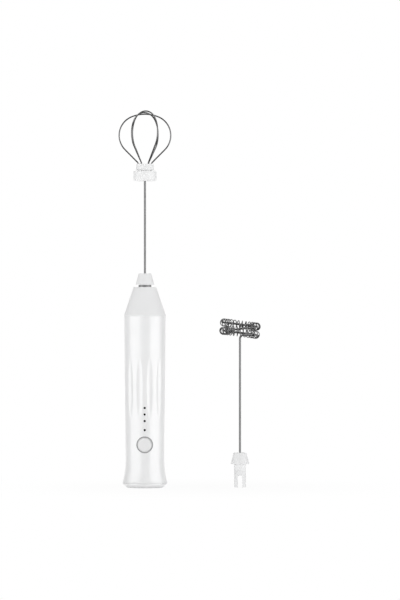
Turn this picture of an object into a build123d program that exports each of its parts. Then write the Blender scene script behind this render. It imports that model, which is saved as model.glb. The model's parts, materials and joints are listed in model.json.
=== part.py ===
from build123d import *
from math import asin, atan, atan2, cos, degrees, hypot, pi, radians, sin, sqrt, tan
import os

os.makedirs("parts", exist_ok=True)

# Hand-held milk frother that stands on its base, with a balloon whisk fitted and a spring whisk beside it.
# Millimetres. The origin is the centre of the base on the table, +Z is up and -Y is the front.

# Fits, all per side
press = 0.02
slip = 0.1
loose = 0.3
air = 0.5

# Shell of the handle
wall = 1.8
seam_groove = 0.2
foot_flare = 2.25
top_flare = 1.0
waist_height = 19.0
nose_height = 19.2
nose_top_radius = 7.45
nose_edge = 0.4
nose_band = 0.8
spigot_length = 4.0
spigot_wall = 1.5

# Flutes of the grip
flute_count = 12
flute_middle = 66.0
flute_length = 39.0
flute_width = 4.2
flute_depth = 0.6

# Base cap
cap_floor = 2.4
cap_height = 3.0
cap_seam = 0.25
cap_shadow = 0.7
cap_setback = 0.3
cap_slope = 2.3
cap_rise = 1.9
cap_toe = 0.4
cap_lip = 1.5
cap_lip_wall = 1.4

# Charging port and board
port_width = 8.94
port_height = 3.26
port_length = 7.3
port_recess = 0.8
port_wall = 0.35
tongue_width = 6.7
tongue_thickness = 0.7
tongue_length = 4.5
board_thickness = 1.2
board_side_gap = 1.0
board_margin = 4.0
board_space = 3.3
standoff = 1.2

# Button, switch and lamps
button_height = 28.65
button_radius = 4.85
button_travel = 0.6
button_flange = 0.7
button_gap = 0.15
ring_width = 0.5
ring_proud = 0.1
switch_side = 6.0
switch_depth = 1.6
switch_floor = 0.35
plunger_radius = 1.5
plunger_root = 0.5
lamp_count = 4
lamp_offset = 9.7
lamp_gap = 6.0
lamp_pitch = 4.3
lamp_radius = 0.75
lamp_recess = 0.15
guide_width = 3.0
guide_thickness = 1.0
led_width = 1.6
led_height = 0.8
chip_depth = 1.4
chip_width = 4.0

# Cell, chassis and leads
battery_radius = 7.0
battery_length = 49.0
battery_edge = 0.5
nub_radius = 2.75
nub_height = 1.0
web = 1.2
web_inset = 2.2
chassis_floor = 2.0
shelf = 1.5
rib = 1.6
rib_inset = 8.0
bulkhead = 2.0
arm_width = 7.0
arm_thickness = 1.6
ledge = 2.2
lead_radius = 0.5
lead_bend = 1.2
lead_drop = 2.0
lead_space = 3.4
wiring_space = 6.5

# Screws
base_screw_radius = 1.0
base_head_radius = 1.9
base_head_height = 1.2
base_screw_x = 7.0
base_screw_y = 3.5
base_boss_height = 4.6
base_boss_wall = 1.2
board_screw_radius = 0.8
board_head_radius = 1.5
board_head_height = 1.0
board_boss_wall = 1.0
motor_screw_radius = 0.95
motor_head_radius = 1.7
motor_head_height = 1.2
motor_screw_x = 6.5
motor_screw_reach = 0.6

# Motor
motor_radius = 10.2
motor_flat = 7.7
motor_length = 32.0
can_wall = 0.8
boss_radius = 3.05
boss_height = 1.6
end_cap_thickness = 2.2
bush_radius = 2.4
bush_length = 2.6
shaft_radius = 1.0
shaft_fit = 0.03
pole_count = 3
rotor_hub = 2.4
rotor_rim = 0.7
rotor_room = 3.0
winding_overhang = 2.5
slot_mouth = 0.8
commutator_radius = 2.6
commutator_length = 4.2
brush_thickness = 0.5
brush_width = 1.5
magnet_thickness = 2.0
terminal_width = 2.0
terminal_thickness = 0.5
terminal_length = 3.3
plate_thickness = 2.0

# Socket, coupling of both heads and drive dog
stem_radius = 3.9
stem_length = 15.5
stem_bore = 2.1
stem_web = 1.0
stem_slot = 2.9
stem_slot_height = 8.0
seat_gap = 1.5
cone_radius = 6.1
cone_top_radius = 4.2
cone_height = 7.5
cone_edge = 0.5
nose_bush_wall = 0.25
nose_bush_proud = 1.2
nose_bush_seat = 9.0
socket_wall = 1.6
socket_floor = 1.5
socket_room = 0.6
shaft_room = 0.6
seal_radius = 4.0
seal_thickness = 1.2
seal_fit = 0.08
dog_clearance = 0.15
dog_setback = 0.3
dog_lift = 0.4
dog_cap = 1.5

# Balloon whisk
rod_radius = 0.7
rod_root = 9.5
whisk_rod = 61.3
hub_radius = 7.7
hub_height = 6.6
hub_round = 1.2
collar_radius = 5.9
collar_height = 4.7
collar_edge = 0.5
neck_depth = 0.5
neck_height = 0.6
spindle_radius = 2.0
spindle_height = 3.0
loop_count = 3
loop_wire = 0.45
loop_gap = 0.15
wire_radius = 4.5
wire_floor = 0.5
wire_bend = 1.6
balloon_radius = 17.1
shoulder_radius = 13.4
crown_radius = 23.5
crown_height = 33.0

# Spring whisk, standing beside the handle
froth_x = 63.0
froth_rod = 75.5
rod_bend = 2.5
ring_radius = 11.1
ring_bend = 2.5
ring_gap = 0.2
ring_halves = 3
coil_radius = 2.4
coil_wire = 0.3
coil_pitch = 2.55
coil_steps = 8
coil_start = 0.02
coil_end = 0.02
coil_lead = 0.75
small_step = 0.001

# Bore of the sleeve, from what has to lie across it
stack = board_space + board_thickness + standoff + web + air + 2 * battery_radius + air
bore_radius = max(stack / 2, motor_radius + air)
waist_radius = bore_radius + wall
foot_radius = waist_radius + foot_flare
sleeve_top_radius = waist_radius + top_flare
chassis_radius = bore_radius - loose
board_front = board_space - bore_radius
board_back = board_front + board_thickness
web_front = board_back + standoff
web_back = web_front + web
battery_y = bore_radius - air - battery_radius
board_width = 2 * (sqrt(bore_radius**2 - board_front**2) - board_side_gap)
board_screw_x = board_width / 2 - board_head_radius - air

# Heights, stacked from the base to the nose
port_top = port_recess + port_length
port_y = board_back + port_height / 2
floor_top = cap_floor + chassis_floor
board_bottom = floor_top + slip
shelf_bottom = port_top + lead_space
battery_bottom = shelf_bottom + shelf + slip
battery_top = battery_bottom + battery_length
nub_top = battery_top + nub_height
bulkhead_bottom = nub_top + slip + 2 * lead_radius + air
bulkhead_top = bulkhead_bottom + bulkhead
motor_rear = bulkhead_top + wiring_space
can_bottom = motor_rear + end_cap_thickness
motor_front = can_bottom + motor_length
plate_top = motor_front + plate_thickness
spigot_bottom = plate_top + 2 * slip
sleeve_top = spigot_bottom + spigot_length
nose_top = sleeve_top + nose_height

# Lamps, counted upwards, and the board that carries them
lamp_base = button_height + lamp_offset
lamp_heights = [lamp_base]
lamp_heights += [lamp_base + lamp_gap + step * lamp_pitch for step in range(lamp_count - 1)]
board_top = lamp_heights[-1] + board_margin

# The fitted head, from its seat on the nose upwards
seat_height = nose_top + seat_gap
stem_bottom = seat_height - stem_length
floor_height = stem_bottom - socket_room
seal_top = floor_height - socket_floor
seal_bottom = seal_top - seal_thickness
cone_top = seat_height + cone_height
hub_bottom = cone_top + whisk_rod
hub_top = hub_bottom + hub_height
collar_top = hub_top + collar_height

# Radii that belong to the socket
nose_bush_inner = stem_radius + slip
nose_bush_outer = nose_bush_inner + nose_bush_wall
socket_radius = nose_bush_outer + press
socket_outer = socket_radius + socket_wall
running_bore = shaft_radius + shaft_fit

front = Plane.XZ
taper = top_flare / (sleeve_top - waist_height)


def body_radius(height):
    """Outer radius of the plain sleeve at a height above the waist."""
    return waist_radius + taper * (height - waist_height)


def flat_at(height):
    """Horizontal plane at a height."""
    return Plane.XY.offset(height)


# Sleeve: a tapered tube with a flared foot
with BuildPart() as handle_sleeve:
    with BuildSketch(front):
        with BuildLine():
            Line((sleeve_top_radius - seam_groove, sleeve_top), (sleeve_top_radius, sleeve_top - seam_groove))
            side = Line((sleeve_top_radius, sleeve_top - seam_groove), (waist_radius, waist_height))
            TangentArc(side @ 1, (foot_radius, cap_height), tangent=side % 1)
            Line((foot_radius, cap_height), (foot_radius - wall, cap_height))
            TangentArc((bore_radius, waist_height), (foot_radius - wall, cap_height), tangent=side % 1)
            Line((bore_radius, waist_height), (sleeve_top_radius - wall, sleeve_top))
            Line((sleeve_top_radius - wall, sleeve_top), (sleeve_top_radius - seam_groove, sleeve_top))
        make_face()
    revolve(axis=Axis.Z)

    # Each flute is cut by a thin ring of large radius, so it is lens-shaped and runs out at both ends.
    # A plain strip between two flutes faces the front, where the lamps are.
    flute_radius = (flute_width / 2) ** 2 / (2 * flute_depth)
    flute_sweep = (flute_length / 2) ** 2 / (2 * flute_depth)
    flute_reach = flute_sweep + flute_radius - flute_depth
    flute_circle = body_radius(flute_middle) + flute_reach
    with Locations((0, 0, flute_middle - taper * flute_reach)):
        with PolarLocations(flute_circle, flute_count, start_angle=180 / flute_count - 90):
            Torus(flute_sweep, flute_radius, rotation=(90, 0, 0), mode=Mode.SUBTRACT)

    # Round holes for the button's ring and the lamps
    ring_inner = button_radius + button_gap
    ring_outer = ring_inner + ring_width
    with BuildSketch(front):
        with Locations((0, button_height)):
            Circle(ring_outer + press)
        with Locations(*[(0, height) for height in lamp_heights]):
            Circle(lamp_radius + press)
    extrude(amount=2 * waist_radius, mode=Mode.SUBTRACT)

handle_sleeve.part.label = "handle_sleeve"
export_step(handle_sleeve.part, "parts/handle_sleeve.step")


# Nose: a cone with a spigot that plugs into the sleeve and a socket in the middle
spigot_outer = body_radius(spigot_bottom) - wall - slip
spigot_inner = spigot_outer - spigot_wall
nose_shoulder = sleeve_top + nose_band
nose_slope = (sleeve_top_radius - nose_top_radius) / (nose_top - nose_shoulder)
nose_skin = wall * sqrt(1 + nose_slope**2)
shoulder_round = (nose_band - seam_groove - press) / tan(atan(nose_slope) / 2)
roof_radius = max(nose_top_radius - nose_skin + nose_slope * wall, socket_outer + slip)


def nose_inside(radius):
    """Height at which the inside of the cone has a radius."""
    return nose_top - (radius + nose_skin - nose_top_radius) / nose_slope


with BuildPart() as nose_cone:
    with BuildSketch(front):
        with BuildLine():
            Polyline(
                (spigot_outer, spigot_bottom),
                (spigot_outer, sleeve_top),
                (sleeve_top_radius - seam_groove, sleeve_top),
                (sleeve_top_radius, sleeve_top + seam_groove),
                (sleeve_top_radius, nose_shoulder),
                (nose_top_radius, nose_top),
                (socket_radius, nose_top),
                (socket_radius, nose_top - nose_bush_seat),
                (nose_bush_inner + slip, nose_top - nose_bush_seat),
                (nose_bush_inner + slip, floor_height),
                (shaft_radius + shaft_room, floor_height),
                (shaft_radius + shaft_room, seal_top),
                (seal_radius + press, seal_top),
                (seal_radius + press, seal_bottom),
                (socket_outer, seal_bottom),
                (socket_outer, nose_inside(roof_radius)),
                (roof_radius, nose_inside(roof_radius)),
                (spigot_inner, nose_inside(spigot_inner)),
                (spigot_inner, spigot_bottom),
                close=True,
            )
        make_face()
    revolve(axis=Axis.Z)
    rims = nose_cone.edges().filter_by(GeomType.CIRCLE).sort_by(SortBy.RADIUS)
    fillet(rims.filter_by_position(Axis.Z, nose_top - press, nose_top + press)[-1], nose_edge)
    rims = nose_cone.edges().filter_by(GeomType.CIRCLE).sort_by(SortBy.RADIUS)
    fillet(rims.filter_by_position(Axis.Z, nose_shoulder - press, nose_shoulder + press)[-1], shoulder_round)

nose_cone.part.label = "nose_cone"
export_step(nose_cone.part, "parts/nose_cone.step")


# Steel ring that lines the mouth of the socket
with BuildPart() as nose_bush:
    with BuildSketch(flat_at(nose_top - nose_bush_seat + slip)):
        Circle(nose_bush_outer)
        Circle(nose_bush_inner, mode=Mode.SUBTRACT)
    extrude(amount=nose_bush_seat - slip + nose_bush_proud)

nose_bush.part.label = "nose_bush"
export_step(nose_bush.part, "parts/nose_bush.step")


# Rubber washer under the floor of the socket
with BuildPart() as shaft_seal:
    with BuildSketch(flat_at(seal_bottom)):
        Circle(seal_radius)
        Circle(shaft_radius + seal_fit, mode=Mode.SUBTRACT)
    extrude(amount=seal_thickness)

shaft_seal.part.label = "shaft_seal"
export_step(shaft_seal.part, "parts/shaft_seal.step")


# Base cap: a shallow dish with a bevelled rim, a slot for the port and two sunk screw holes
cap_radius = foot_radius - cap_setback
foot_slope = 2 * foot_flare / (waist_height - cap_height)
lip_radius = foot_radius - wall - foot_slope * cap_lip - loose
lip_inner = lip_radius - cap_lip_wall
base_screw_points = [(-base_screw_x, base_screw_y), (base_screw_x, base_screw_y)]
with BuildPart() as base_cap:
    with BuildSketch(front):
        with BuildLine():
            Polyline(
                (0, 0),
                (cap_radius - cap_slope - cap_toe, 0),
                (cap_radius - cap_slope, cap_toe),
                (cap_radius, cap_toe + cap_rise),
                (cap_radius, cap_height - cap_seam),
                (cap_radius - cap_shadow, cap_height - cap_seam),
                (cap_radius - cap_shadow, cap_height),
                (lip_radius, cap_height),
                (lip_radius, cap_height + cap_lip),
                (lip_inner, cap_height + cap_lip),
                (lip_inner, cap_floor),
                (0, cap_floor),
                close=True,
            )
        make_face()
    revolve(axis=Axis.Z)
    with BuildSketch(Plane.XY):
        with Locations((0, port_y)):
            SlotOverall(port_width + 2 * loose, port_height + 2 * loose)
    extrude(amount=cap_floor, mode=Mode.SUBTRACT)
    with Locations(Plane(origin=(0, 0, 0), x_dir=(-1, 0, 0), z_dir=(0, 0, -1))):
        with Locations(*base_screw_points):
            CounterBoreHole(base_screw_radius + slip, base_head_radius + slip, base_head_height + slip)

base_cap.part.label = "base_cap"
export_step(base_cap.part, "parts/base_cap.step")


# Two pan-head screws that pull the cap up against the chassis
screw_seat = base_head_height + slip
with BuildPart() as base_screws:
    with BuildSketch(flat_at(screw_seat - base_head_height)):
        with Locations(*base_screw_points):
            Circle(base_head_radius)
    extrude(amount=base_head_height)
    with BuildSketch(flat_at(screw_seat)):
        with Locations(*base_screw_points):
            Circle(base_screw_radius)
    extrude(amount=floor_top + base_boss_height - air - screw_seat)

base_screws.part.label = "base_screws"
export_step(base_screws.part, "parts/base_screws.step")


# Chassis: floor, web behind the board, cradle for the cell, bulkhead and two arms along the motor's flats
rib_heights = [battery_bottom + rib_inset, battery_top - rib_inset - rib]
board_screw_low = button_height - switch_side - board_margin
board_screw_high = lamp_base + lamp_gap / 2
board_screw_points = [(board_screw_x, board_screw_low), (-board_screw_x, board_screw_high)]
window_bottom = board_top - lead_drop - board_margin
lead_y = (web_front + web_back) / 2
minus_lead_x = port_width / 2 + lead_radius + air
minus_lead_z = shelf_bottom - lead_radius - air
lead_spread = arm_width / 2 + terminal_width / 2 + air
web_half = chassis_radius - web_inset
window_width = 2 * (lead_spread + lead_radius + loose)
across = 4 * bore_radius
arm_inside = motor_flat + slip
with BuildPart() as chassis:
    with BuildSketch(flat_at(cap_floor)):
        Circle(chassis_radius)
        with Locations((0, port_y)):
            Rectangle(port_width + 2 * loose, port_height + 2 * loose, mode=Mode.SUBTRACT)
    extrude(amount=chassis_floor)

    # Bosses for the base screws and for the board
    with BuildSketch(flat_at(floor_top)):
        with Locations(*base_screw_points):
            Circle(base_screw_radius + base_boss_wall)
    extrude(amount=base_boss_height)
    with BuildSketch(front.offset(-web_back)):
        with Locations(*board_screw_points):
            Circle(board_screw_radius + board_boss_wall)
    extrude(amount=web + standoff)

    # Web, with a gap for the port below and a window for the leads above
    with BuildSketch(front.offset(-web_back)):
        with Locations((0, floor_top)):
            Rectangle(2 * web_half, bulkhead_bottom - floor_top, align=(Align.CENTER, Align.MIN))
            port_gap = port_top - floor_top + air
            Rectangle(port_width + 2 * loose, port_gap, align=(Align.CENTER, Align.MIN), mode=Mode.SUBTRACT)
        with Locations((0, window_bottom)):
            window = bulkhead_bottom - window_bottom
            Rectangle(window_width, window, align=(Align.CENTER, Align.MIN), mode=Mode.SUBTRACT)
        with Locations((minus_lead_x, minus_lead_z)):
            Circle(lead_radius + loose, mode=Mode.SUBTRACT)
    extrude(amount=web)

    # Shelf under the cell and two pairs of ribs that grip it, clear of the leads in the window
    with BuildSketch(flat_at(shelf_bottom)):
        Circle(chassis_radius)
        with Locations((0, battery_y)):
            Circle(nub_radius, mode=Mode.SUBTRACT)
        with Locations((0, web_front)):
            Rectangle(across, across, align=(Align.CENTER, Align.MAX), mode=Mode.SUBTRACT)
    extrude(amount=shelf)
    for rib_height in rib_heights:
        with BuildSketch(flat_at(rib_height)):
            Circle(chassis_radius)
            with Locations((0, battery_y)):
                Circle(battery_radius + slip, mode=Mode.SUBTRACT)
            with Locations((0, web_front)):
                Rectangle(across, across, align=(Align.CENTER, Align.MAX), mode=Mode.SUBTRACT)
            with Locations((0, battery_y + battery_radius / 2)):
                Rectangle(across, across, align=(Align.CENTER, Align.MIN), mode=Mode.SUBTRACT)
            Rectangle(window_width, across, mode=Mode.SUBTRACT)
        extrude(amount=rib)

    # Bulkhead with two lead holes, then the ledges and arms that hold the motor
    with BuildSketch(flat_at(bulkhead_bottom)):
        Circle(chassis_radius)
        with Locations((-lead_spread, lead_y), (lead_spread, lead_y)):
            Circle(lead_radius + loose, mode=Mode.SUBTRACT)
    extrude(amount=bulkhead)
    with BuildSketch(flat_at(bulkhead_top)):
        for side_sign in (-1, 1):
            with Locations((0, side_sign * (arm_inside + arm_thickness / 2))):
                Rectangle(arm_width, arm_thickness)
    extrude(amount=motor_front - bulkhead_top)
    with BuildSketch(flat_at(bulkhead_top)):
        for side_sign in (-1, 1):
            with Locations((0, side_sign * (arm_inside - ledge / 2))):
                Rectangle(arm_width, ledge)
    extrude(amount=wiring_space)

    # Screw holes
    with BuildSketch(flat_at(cap_floor)):
        with Locations(*base_screw_points):
            Circle(base_screw_radius + press)
    extrude(amount=chassis_floor + base_boss_height, mode=Mode.SUBTRACT)
    with BuildSketch(front.offset(-web_back)):
        with Locations(*board_screw_points):
            Circle(board_screw_radius + press)
    extrude(amount=web + standoff, mode=Mode.SUBTRACT)

chassis.part.label = "chassis"
export_step(chassis.part, "parts/chassis.step")


# Round cell with a raised contact on top
with BuildPart() as battery_cell:
    with BuildSketch(flat_at(battery_bottom)):
        with Locations((0, battery_y)):
            Circle(battery_radius)
    extrude(amount=battery_length)
    chamfer(battery_cell.edges().filter_by(GeomType.CIRCLE), battery_edge)
    with BuildSketch(flat_at(battery_top)):
        with Locations((0, battery_y)):
            Circle(nub_radius)
    extrude(amount=nub_height)

battery_cell.part.label = "battery_cell"
export_step(battery_cell.part, "parts/battery_cell.step")


# Board, upright behind the front of the sleeve
with BuildPart() as circuit_board:
    with BuildSketch(front.offset(-board_back)):
        with Locations((0, board_bottom)):
            Rectangle(board_width, board_top - board_bottom, align=(Align.CENTER, Align.MIN))
        with Locations(*board_screw_points):
            Circle(board_screw_radius + slip, mode=Mode.SUBTRACT)
    extrude(amount=board_thickness)

circuit_board.part.label = "circuit_board"
export_step(circuit_board.part, "parts/circuit_board.step")


# Two screws through the board into the chassis
with BuildPart() as board_screws:
    with BuildSketch(front.offset(-board_front)):
        with Locations(*board_screw_points):
            Circle(board_head_radius)
    extrude(amount=board_head_height)
    with BuildSketch(front.offset(-board_front)):
        with Locations(*board_screw_points):
            Circle(board_screw_radius)
    extrude(amount=-(board_thickness + standoff + web / 2))

board_screws.part.label = "board_screws"
export_step(board_screws.part, "parts/board_screws.step")


# Charger and motor driver chips, between the port and the switch
chip_heights = [board_bottom + board_margin, board_bottom + board_margin + chip_width + air]
with BuildPart() as board_chips:
    with BuildSketch(front.offset(-board_front)):
        with Locations(*[(0, height) for height in chip_heights]):
            Rectangle(chip_width, chip_width)
    extrude(amount=chip_depth)

board_chips.part.label = "board_chips"
export_step(board_chips.part, "parts/board_chips.step")


# Four small lamps behind the windows
with BuildPart() as indicator_lamps:
    with BuildSketch(front.offset(-board_front)):
        with Locations(*[(0, height) for height in lamp_heights]):
            Rectangle(led_width, led_width / 2)
    extrude(amount=led_height)

indicator_lamps.part.label = "indicator_lamps"
export_step(indicator_lamps.part, "parts/indicator_lamps.step")


# Dark strip with one round window for each lamp
guide_front = body_radius(lamp_base) - wall - loose
with BuildPart() as light_guide:
    with BuildSketch(front.offset(guide_front)):
        with Locations((0, lamp_base - guide_width / 2)):
            guide_length = lamp_heights[-1] - lamp_base + guide_width
            Rectangle(guide_width, guide_length, align=(Align.CENTER, Align.MIN))
    extrude(amount=-guide_thickness)
    for lamp_height in lamp_heights:
        with BuildSketch(front.offset(guide_front)):
            with Locations((0, lamp_height)):
                Circle(lamp_radius)
        extrude(amount=body_radius(lamp_height) - lamp_recess - guide_front)

light_guide.part.label = "light_guide"
export_step(light_guide.part, "parts/light_guide.step")


# Switch on the board, with a well for its plunger
switch_front = switch_depth - board_front
plunger_tip = switch_front + button_travel + slip
with BuildPart() as tact_switch:
    with BuildSketch(front.offset(-board_front)):
        with Locations((0, button_height)):
            Rectangle(switch_side, switch_side)
    extrude(amount=switch_depth)
    with BuildSketch(front.offset(switch_front)):
        with Locations((0, button_height)):
            Circle(plunger_radius + slip)
    extrude(amount=switch_floor - switch_depth, mode=Mode.SUBTRACT)

tact_switch.part.label = "tact_switch"
export_step(tact_switch.part, "parts/tact_switch.step")


with BuildPart() as switch_plunger:
    with BuildSketch(front.offset(plunger_tip)):
        with Locations((0, button_height)):
            Circle(plunger_radius)
    extrude(amount=-(button_travel + slip + plunger_root))

switch_plunger.part.label = "switch_plunger"
export_step(switch_plunger.part, "parts/switch_plunger.step")


# Button: a disc with a flange behind the ring, its face curved like the sleeve
button_face = body_radius(button_height)
flange_front = plunger_tip + button_flange
with BuildPart() as power_button:
    with BuildSketch(front.offset(plunger_tip)):
        with Locations((0, button_height)):
            Circle(button_radius)
    extrude(amount=waist_radius)
    with BuildSketch(flat_at(button_height - ring_outer)):
        Circle(button_face)
    extrude(amount=2 * ring_outer, mode=Mode.INTERSECT)
    with BuildSketch(front.offset(plunger_tip)):
        with Locations((0, button_height)):
            Circle(ring_outer - button_gap)
    extrude(amount=button_flange)

power_button.part.label = "power_button"
export_step(power_button.part, "parts/power_button.step")


with BuildPart() as button_ring:
    with BuildSketch(front.offset(flange_front + slip)):
        with Locations((0, button_height)):
            Circle(ring_outer)
            Circle(ring_inner, mode=Mode.SUBTRACT)
    extrude(amount=waist_radius)
    with BuildSketch(flat_at(button_height - 2 * ring_outer)):
        Circle(button_face + ring_proud)
    extrude(amount=4 * ring_outer, mode=Mode.INTERSECT)

button_ring.part.label = "button_ring"
export_step(button_ring.part, "parts/button_ring.step")


# Charging port: a rounded steel tube with a tongue in the middle, its mouth down in the base
with BuildPart() as charge_port:
    with BuildSketch(flat_at(port_recess)):
        with Locations((0, port_y)):
            SlotOverall(port_width, port_height)
    extrude(amount=port_length)
    with BuildSketch(flat_at(port_recess)):
        with Locations((0, port_y)):
            SlotOverall(port_width - 2 * port_wall, port_height - 2 * port_wall)
    extrude(amount=port_length - 2 * port_wall, mode=Mode.SUBTRACT)
    with BuildSketch(flat_at(port_top - port_wall)):
        with Locations((0, port_y)):
            Rectangle(tongue_width, tongue_thickness)
    extrude(amount=-tongue_length)

charge_port.part.label = "charge_port"
export_step(charge_port.part, "parts/charge_port.step")


# Leads from the board to the cell
lead_start = board_top - lead_drop
plus_lead_z = nub_top + slip + lead_radius
battery_routes = [
    [(0, board_back, lead_start), (0, lead_y, lead_start), (0, lead_y, plus_lead_z), (0, battery_y, plus_lead_z)],
    [
        (minus_lead_x, board_back, minus_lead_z),
        (minus_lead_x, battery_y, minus_lead_z),
        (0, battery_y, minus_lead_z),
        (0, battery_y, battery_bottom - slip),
    ],
]
with BuildPart() as battery_leads:
    for route in battery_routes:
        with BuildLine() as lead_line:
            FilletPolyline(*route, radius=lead_bend)
        with BuildSketch(Plane(origin=lead_line.line @ 0, z_dir=lead_line.line % 0)):
            Circle(lead_radius)
        sweep(path=lead_line.line)

battery_leads.part.label = "battery_leads"
export_step(battery_leads.part, "parts/battery_leads.step")


# Leads from the board to the motor's terminals
terminal_bottom = motor_rear - terminal_length
with BuildPart() as motor_leads:
    for lead_x in (-lead_spread, lead_spread):
        with BuildLine() as lead_line:
            FilletPolyline(
                (lead_x, board_back, lead_start),
                (lead_x, lead_y, lead_start),
                (lead_x, lead_y, terminal_bottom),
                radius=lead_bend,
            )
        with BuildSketch(Plane(origin=lead_line.line @ 0, z_dir=lead_line.line % 0)):
            Circle(lead_radius)
        sweep(path=lead_line.line)

motor_leads.part.label = "motor_leads"
export_step(motor_leads.part, "parts/motor_leads.step")


# Motor can: a drawn steel tube with two flats, closed in front round a boss
with BuildPart() as motor_can:
    with BuildSketch(flat_at(can_bottom)):
        Circle(motor_radius)
        Rectangle(2 * motor_radius, 2 * motor_flat, mode=Mode.INTERSECT)
    extrude(amount=motor_length)
    with BuildSketch(flat_at(can_bottom)):
        Circle(motor_radius - can_wall)
        Rectangle(2 * motor_radius, 2 * (motor_flat - can_wall), mode=Mode.INTERSECT)
    extrude(amount=motor_length - can_wall, mode=Mode.SUBTRACT)
    with BuildSketch(flat_at(motor_front)):
        Circle(boss_radius)
    extrude(amount=boss_height)
    with BuildSketch(flat_at(motor_front - can_wall)):
        Circle(bush_radius + press)
        with Locations((-motor_screw_x, 0), (motor_screw_x, 0)):
            Circle(motor_screw_radius + press)
    extrude(amount=can_wall + boss_height, mode=Mode.SUBTRACT)

motor_can.part.label = "motor_can"
export_step(motor_can.part, "parts/motor_can.step")


with BuildPart() as motor_end_cap:
    with BuildSketch(flat_at(motor_rear)):
        Circle(motor_radius)
        Rectangle(2 * motor_radius, 2 * motor_flat, mode=Mode.INTERSECT)
        Circle(bush_radius + press, mode=Mode.SUBTRACT)
    extrude(amount=end_cap_thickness)

motor_end_cap.part.label = "motor_end_cap"
export_step(motor_end_cap.part, "parts/motor_end_cap.step")


# Two sintered bushes that carry the shaft, one at each end
with BuildPart() as motor_bushes:
    for bush_bottom in (motor_rear, motor_front + boss_height - bush_length):
        with BuildSketch(flat_at(bush_bottom)):
            Circle(bush_radius)
            Circle(running_bore, mode=Mode.SUBTRACT)
        extrude(amount=bush_length)

motor_bushes.part.label = "motor_bushes"
export_step(motor_bushes.part, "parts/motor_bushes.step")


# Heights inside the motor: commutator, windings, then the room under the closed end of the can
commutator_bottom = motor_rear + bush_length + air
commutator_top = commutator_bottom + commutator_length
winding_bottom = commutator_top + slip
winding_length = motor_front - can_wall - rotor_room - winding_bottom
rotor_bottom = winding_bottom + winding_overhang
rotor_length = winding_length - 2 * winding_overhang


# Two curved magnets against the inside of the can, as wide as its flats allow, and the rotor that turns inside
flat_inside = motor_flat - can_wall
magnet_outer = motor_radius - can_wall - press
magnet_inner = magnet_outer - magnet_thickness
magnet_angle = 2 * degrees(asin((flat_inside - air) / magnet_outer))
rotor_radius = min(magnet_inner, flat_inside) - air
winding_radius = (rotor_radius - rotor_rim - rotor_hub) / 2
winding_circle = rotor_hub + winding_radius
with BuildPart() as motor_magnets:
    for turn in (0, 180):
        with BuildSketch(flat_at(winding_bottom)):
            with BuildLine():
                start_angle = turn - magnet_angle / 2
                outer_arc = CenterArc((0, 0), magnet_outer, start_angle, magnet_angle)
                inner_arc = CenterArc((0, 0), magnet_inner, start_angle, magnet_angle)
                Line(outer_arc @ 0, inner_arc @ 0)
                Line(outer_arc @ 1, inner_arc @ 1)
            make_face()
        extrude(amount=winding_length)

motor_magnets.part.label = "motor_magnets"
export_step(motor_magnets.part, "parts/motor_magnets.step")


# Two brushes that stand on the end cap beside the commutator
with BuildPart() as motor_brushes:
    with BuildSketch(flat_at(can_bottom)):
        for side_sign in (-1, 1):
            with Locations((side_sign * (commutator_radius + loose + brush_thickness / 2), 0)):
                Rectangle(brush_thickness, brush_width)
    extrude(amount=commutator_top - air - can_bottom)

motor_brushes.part.label = "motor_brushes"
export_step(motor_brushes.part, "parts/motor_brushes.step")


with BuildPart() as motor_terminals:
    with BuildSketch(flat_at(motor_rear)):
        with Locations((-lead_spread, lead_y), (lead_spread, lead_y)):
            Rectangle(terminal_width, terminal_thickness)
    extrude(amount=-terminal_length)

motor_terminals.part.label = "motor_terminals"
export_step(motor_terminals.part, "parts/motor_terminals.step")


# Plate across the front of the motor, held under the nose's spigot
with BuildPart() as motor_plate:
    with BuildSketch(flat_at(motor_front)):
        Circle(body_radius(motor_front) - wall - 2 * slip)
        Circle(boss_radius + slip, mode=Mode.SUBTRACT)
        with Locations((-motor_screw_x, 0), (motor_screw_x, 0)):
            Circle(motor_screw_radius + slip, mode=Mode.SUBTRACT)
    extrude(amount=plate_thickness)

motor_plate.part.label = "motor_plate"
export_step(motor_plate.part, "parts/motor_plate.step")


with BuildPart() as motor_screws:
    with BuildSketch(flat_at(plate_top)):
        with Locations((-motor_screw_x, 0), (motor_screw_x, 0)):
            Circle(motor_head_radius)
    extrude(amount=motor_head_height)
    with BuildSketch(flat_at(plate_top)):
        with Locations((-motor_screw_x, 0), (motor_screw_x, 0)):
            Circle(motor_screw_radius)
    extrude(amount=-(plate_thickness + can_wall + motor_screw_reach - slip))

motor_screws.part.label = "motor_screws"
export_step(motor_screws.part, "parts/motor_screws.step")


# Spindle: shaft, three-pole rotor, windings and commutator
slot_top = stem_bottom + stem_slot_height
bar_bottom = stem_bottom + dog_lift
bar_top = slot_top - 2 * dog_lift
shaft_top = bar_top
with BuildPart() as motor_shaft:
    with BuildSketch(flat_at(motor_rear + loose)):
        Circle(shaft_radius)
    extrude(amount=shaft_top - motor_rear - loose)

motor_shaft.part.label = "motor_shaft"
export_step(motor_shaft.part, "parts/motor_shaft.step")


with BuildPart() as rotor_core:
    with BuildSketch(flat_at(rotor_bottom)):
        Circle(rotor_radius)
        Circle(shaft_radius + press, mode=Mode.SUBTRACT)
        with PolarLocations(winding_circle, pole_count):
            Circle(winding_radius + slip, mode=Mode.SUBTRACT)
            Rectangle(rotor_radius, slot_mouth, align=(Align.MIN, Align.CENTER), mode=Mode.SUBTRACT)
    extrude(amount=rotor_length)

rotor_core.part.label = "rotor_core"
export_step(rotor_core.part, "parts/rotor_core.step")


with BuildPart() as rotor_windings:
    with BuildSketch(flat_at(winding_bottom)):
        with PolarLocations(winding_circle, pole_count):
            Circle(winding_radius)
    extrude(amount=winding_length)

rotor_windings.part.label = "rotor_windings"
export_step(rotor_windings.part, "parts/rotor_windings.step")


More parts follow.
